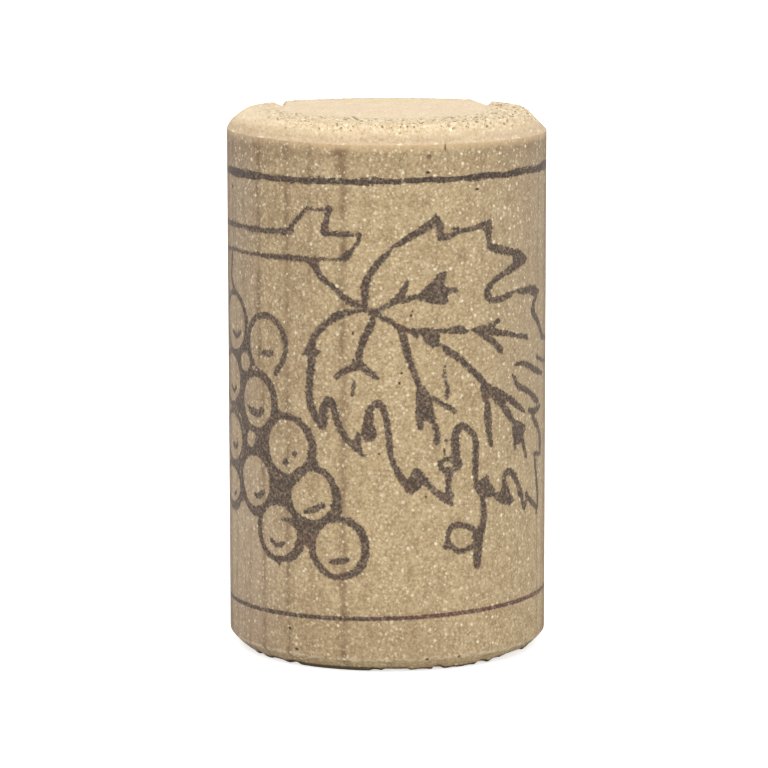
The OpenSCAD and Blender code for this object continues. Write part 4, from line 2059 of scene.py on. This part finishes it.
@dataclass
class Studio:
    """The pale floor, the soft lights and the camera.

    Attributes:
        softboxes: Name, direction of the light, brightness and width in degrees of each light.
    """

    floor_half: float = 3.0
    lift: float = 0.6
    ambient: float = 0.58
    softboxes: tuple[tuple[str, tuple[float, float, float], float, float], ...] = (
        ("left_softbox", (0.72, 0.6, -0.36), 0.22, 40.0),
        ("right_softbox", (-0.72, 0.6, -0.36), 0.25, 40.0),
        ("overhead_softbox", (0.05, 0.25, -1.0), 0.4, 60.0),
    )
    camera_place: tuple[float, float, float] = (0.0, -282.8, 64.3)
    camera_aim: tuple[float, float, float] = (-0.215, 0.0, 18.5)
    camera_roll: float = -0.08
    lens: float = 189.1
    sensor: float = 36.0

    def floor(self) -> None:
        """A white floor that keeps the cork's shadow."""
        half = self.floor_half
        corners = [(-half, -half, 0.0), (half, -half, 0.0), (half, half, 0.0), (-half, half, 0.0)]
        mesh = bpy.data.meshes.new("floor")
        mesh.from_pydata(corners, [], [(0, 1, 2, 3)])
        material = bpy.data.materials.new("floor_white")
        material.use_nodes = True
        sheet = NodeSheet(material.node_tree)
        shader = material.node_tree.nodes["Principled BSDF"]
        seen = sheet.made("ShaderNodeLightPath", "Is Camera Ray", {})
        sheet.feed(shader.inputs["Base Color"], sheet.mix(seen, (0.75, 0.745, 0.74), (0.97, 0.97, 0.97)))
        sheet.feed(shader.inputs["Emission Color"], sheet.mix(seen, (0.0, 0.0, 0.0), (self.lift,) * 3))
        for name, value in (("Emission Strength", 1.0), ("Roughness", 1.0), ("Specular IOR Level", 0.0)):
            shader.inputs[name].default_value = value
        mesh.materials.append(material)
        floor = bpy.data.objects.new("floor", mesh)
        bpy.context.scene.collection.objects.link(floor)

    def sky(self) -> None:
        """Even light from all round, and white behind the floor."""
        world = bpy.data.worlds.new("studio_sky")
        world.use_nodes = True
        bpy.context.scene.world = world
        sheet = NodeSheet(world.node_tree)
        background = world.node_tree.nodes["Background"]
        seen = sheet.made("ShaderNodeLightPath", "Is Camera Ray", {})
        sheet.feed(background.inputs["Color"], sheet.mix(seen, (self.ambient,) * 3, (1.0, 1.0, 1.0)))
        background.inputs["Strength"].default_value = 1.0

    @staticmethod
    def _place(name: str, data: bpy.types.ID, way: Vector, roll: float = 0.0) -> bpy.types.Object:
        """Puts a light or a camera in the scene.

        Args:
            name: The object's name.
            data: The light or the camera.
            way: The direction in which it looks.
            roll: Its turn about that direction, in degrees.

        Returns:
            The object.
        """
        holder = bpy.data.objects.new(name, data)
        holder.rotation_mode = "QUATERNION"
        turn = Quaternion((0.0, 0.0, 1.0), math.radians(roll))
        holder.rotation_quaternion = way.to_track_quat("-Z", "Y") @ turn
        bpy.context.scene.collection.objects.link(holder)
        return holder

    def lights(self) -> None:
        """The three softboxes: two from the front, left and right, and one overhead."""
        for name, towards, level, spread in self.softboxes:
            lamp = bpy.data.lights.new(name, "SUN")
            lamp.energy = level * math.pi
            lamp.angle = math.radians(spread)
            self._place(name, lamp, Vector(towards))

    def camera(self) -> None:
        """The camera, looking at the printed side."""
        data = bpy.data.cameras.new("camera")
        data.lens = self.lens
        data.sensor_width = self.sensor
        data.clip_start = 0.01
        data.clip_end = 20.0
        place = Vector(self.camera_place) * MM
        holder = self._place("camera", data, Vector(self.camera_aim) * MM - place, self.camera_roll)
        holder.location = place
        bpy.context.scene.camera = holder

    def set_up(self) -> None:
        """Builds the whole studio."""
        bpy.context.scene.view_settings.view_transform = "Standard"
        self.floor()
        self.sky()
        self.lights()
        self.camera()


def main() -> None:
    """Builds the studio and the cork, in order, and reports each piece."""
    logging.basicConfig(level=logging.INFO, format="%(name)s: %(message)s")
    Studio().set_up()
    piece = Cork().build()
    LOG.info("%s: %d corners, %d triangles", piece.name, len(piece.data.vertices), len(piece.data.polygons))


if __name__ == "__main__":
    main()
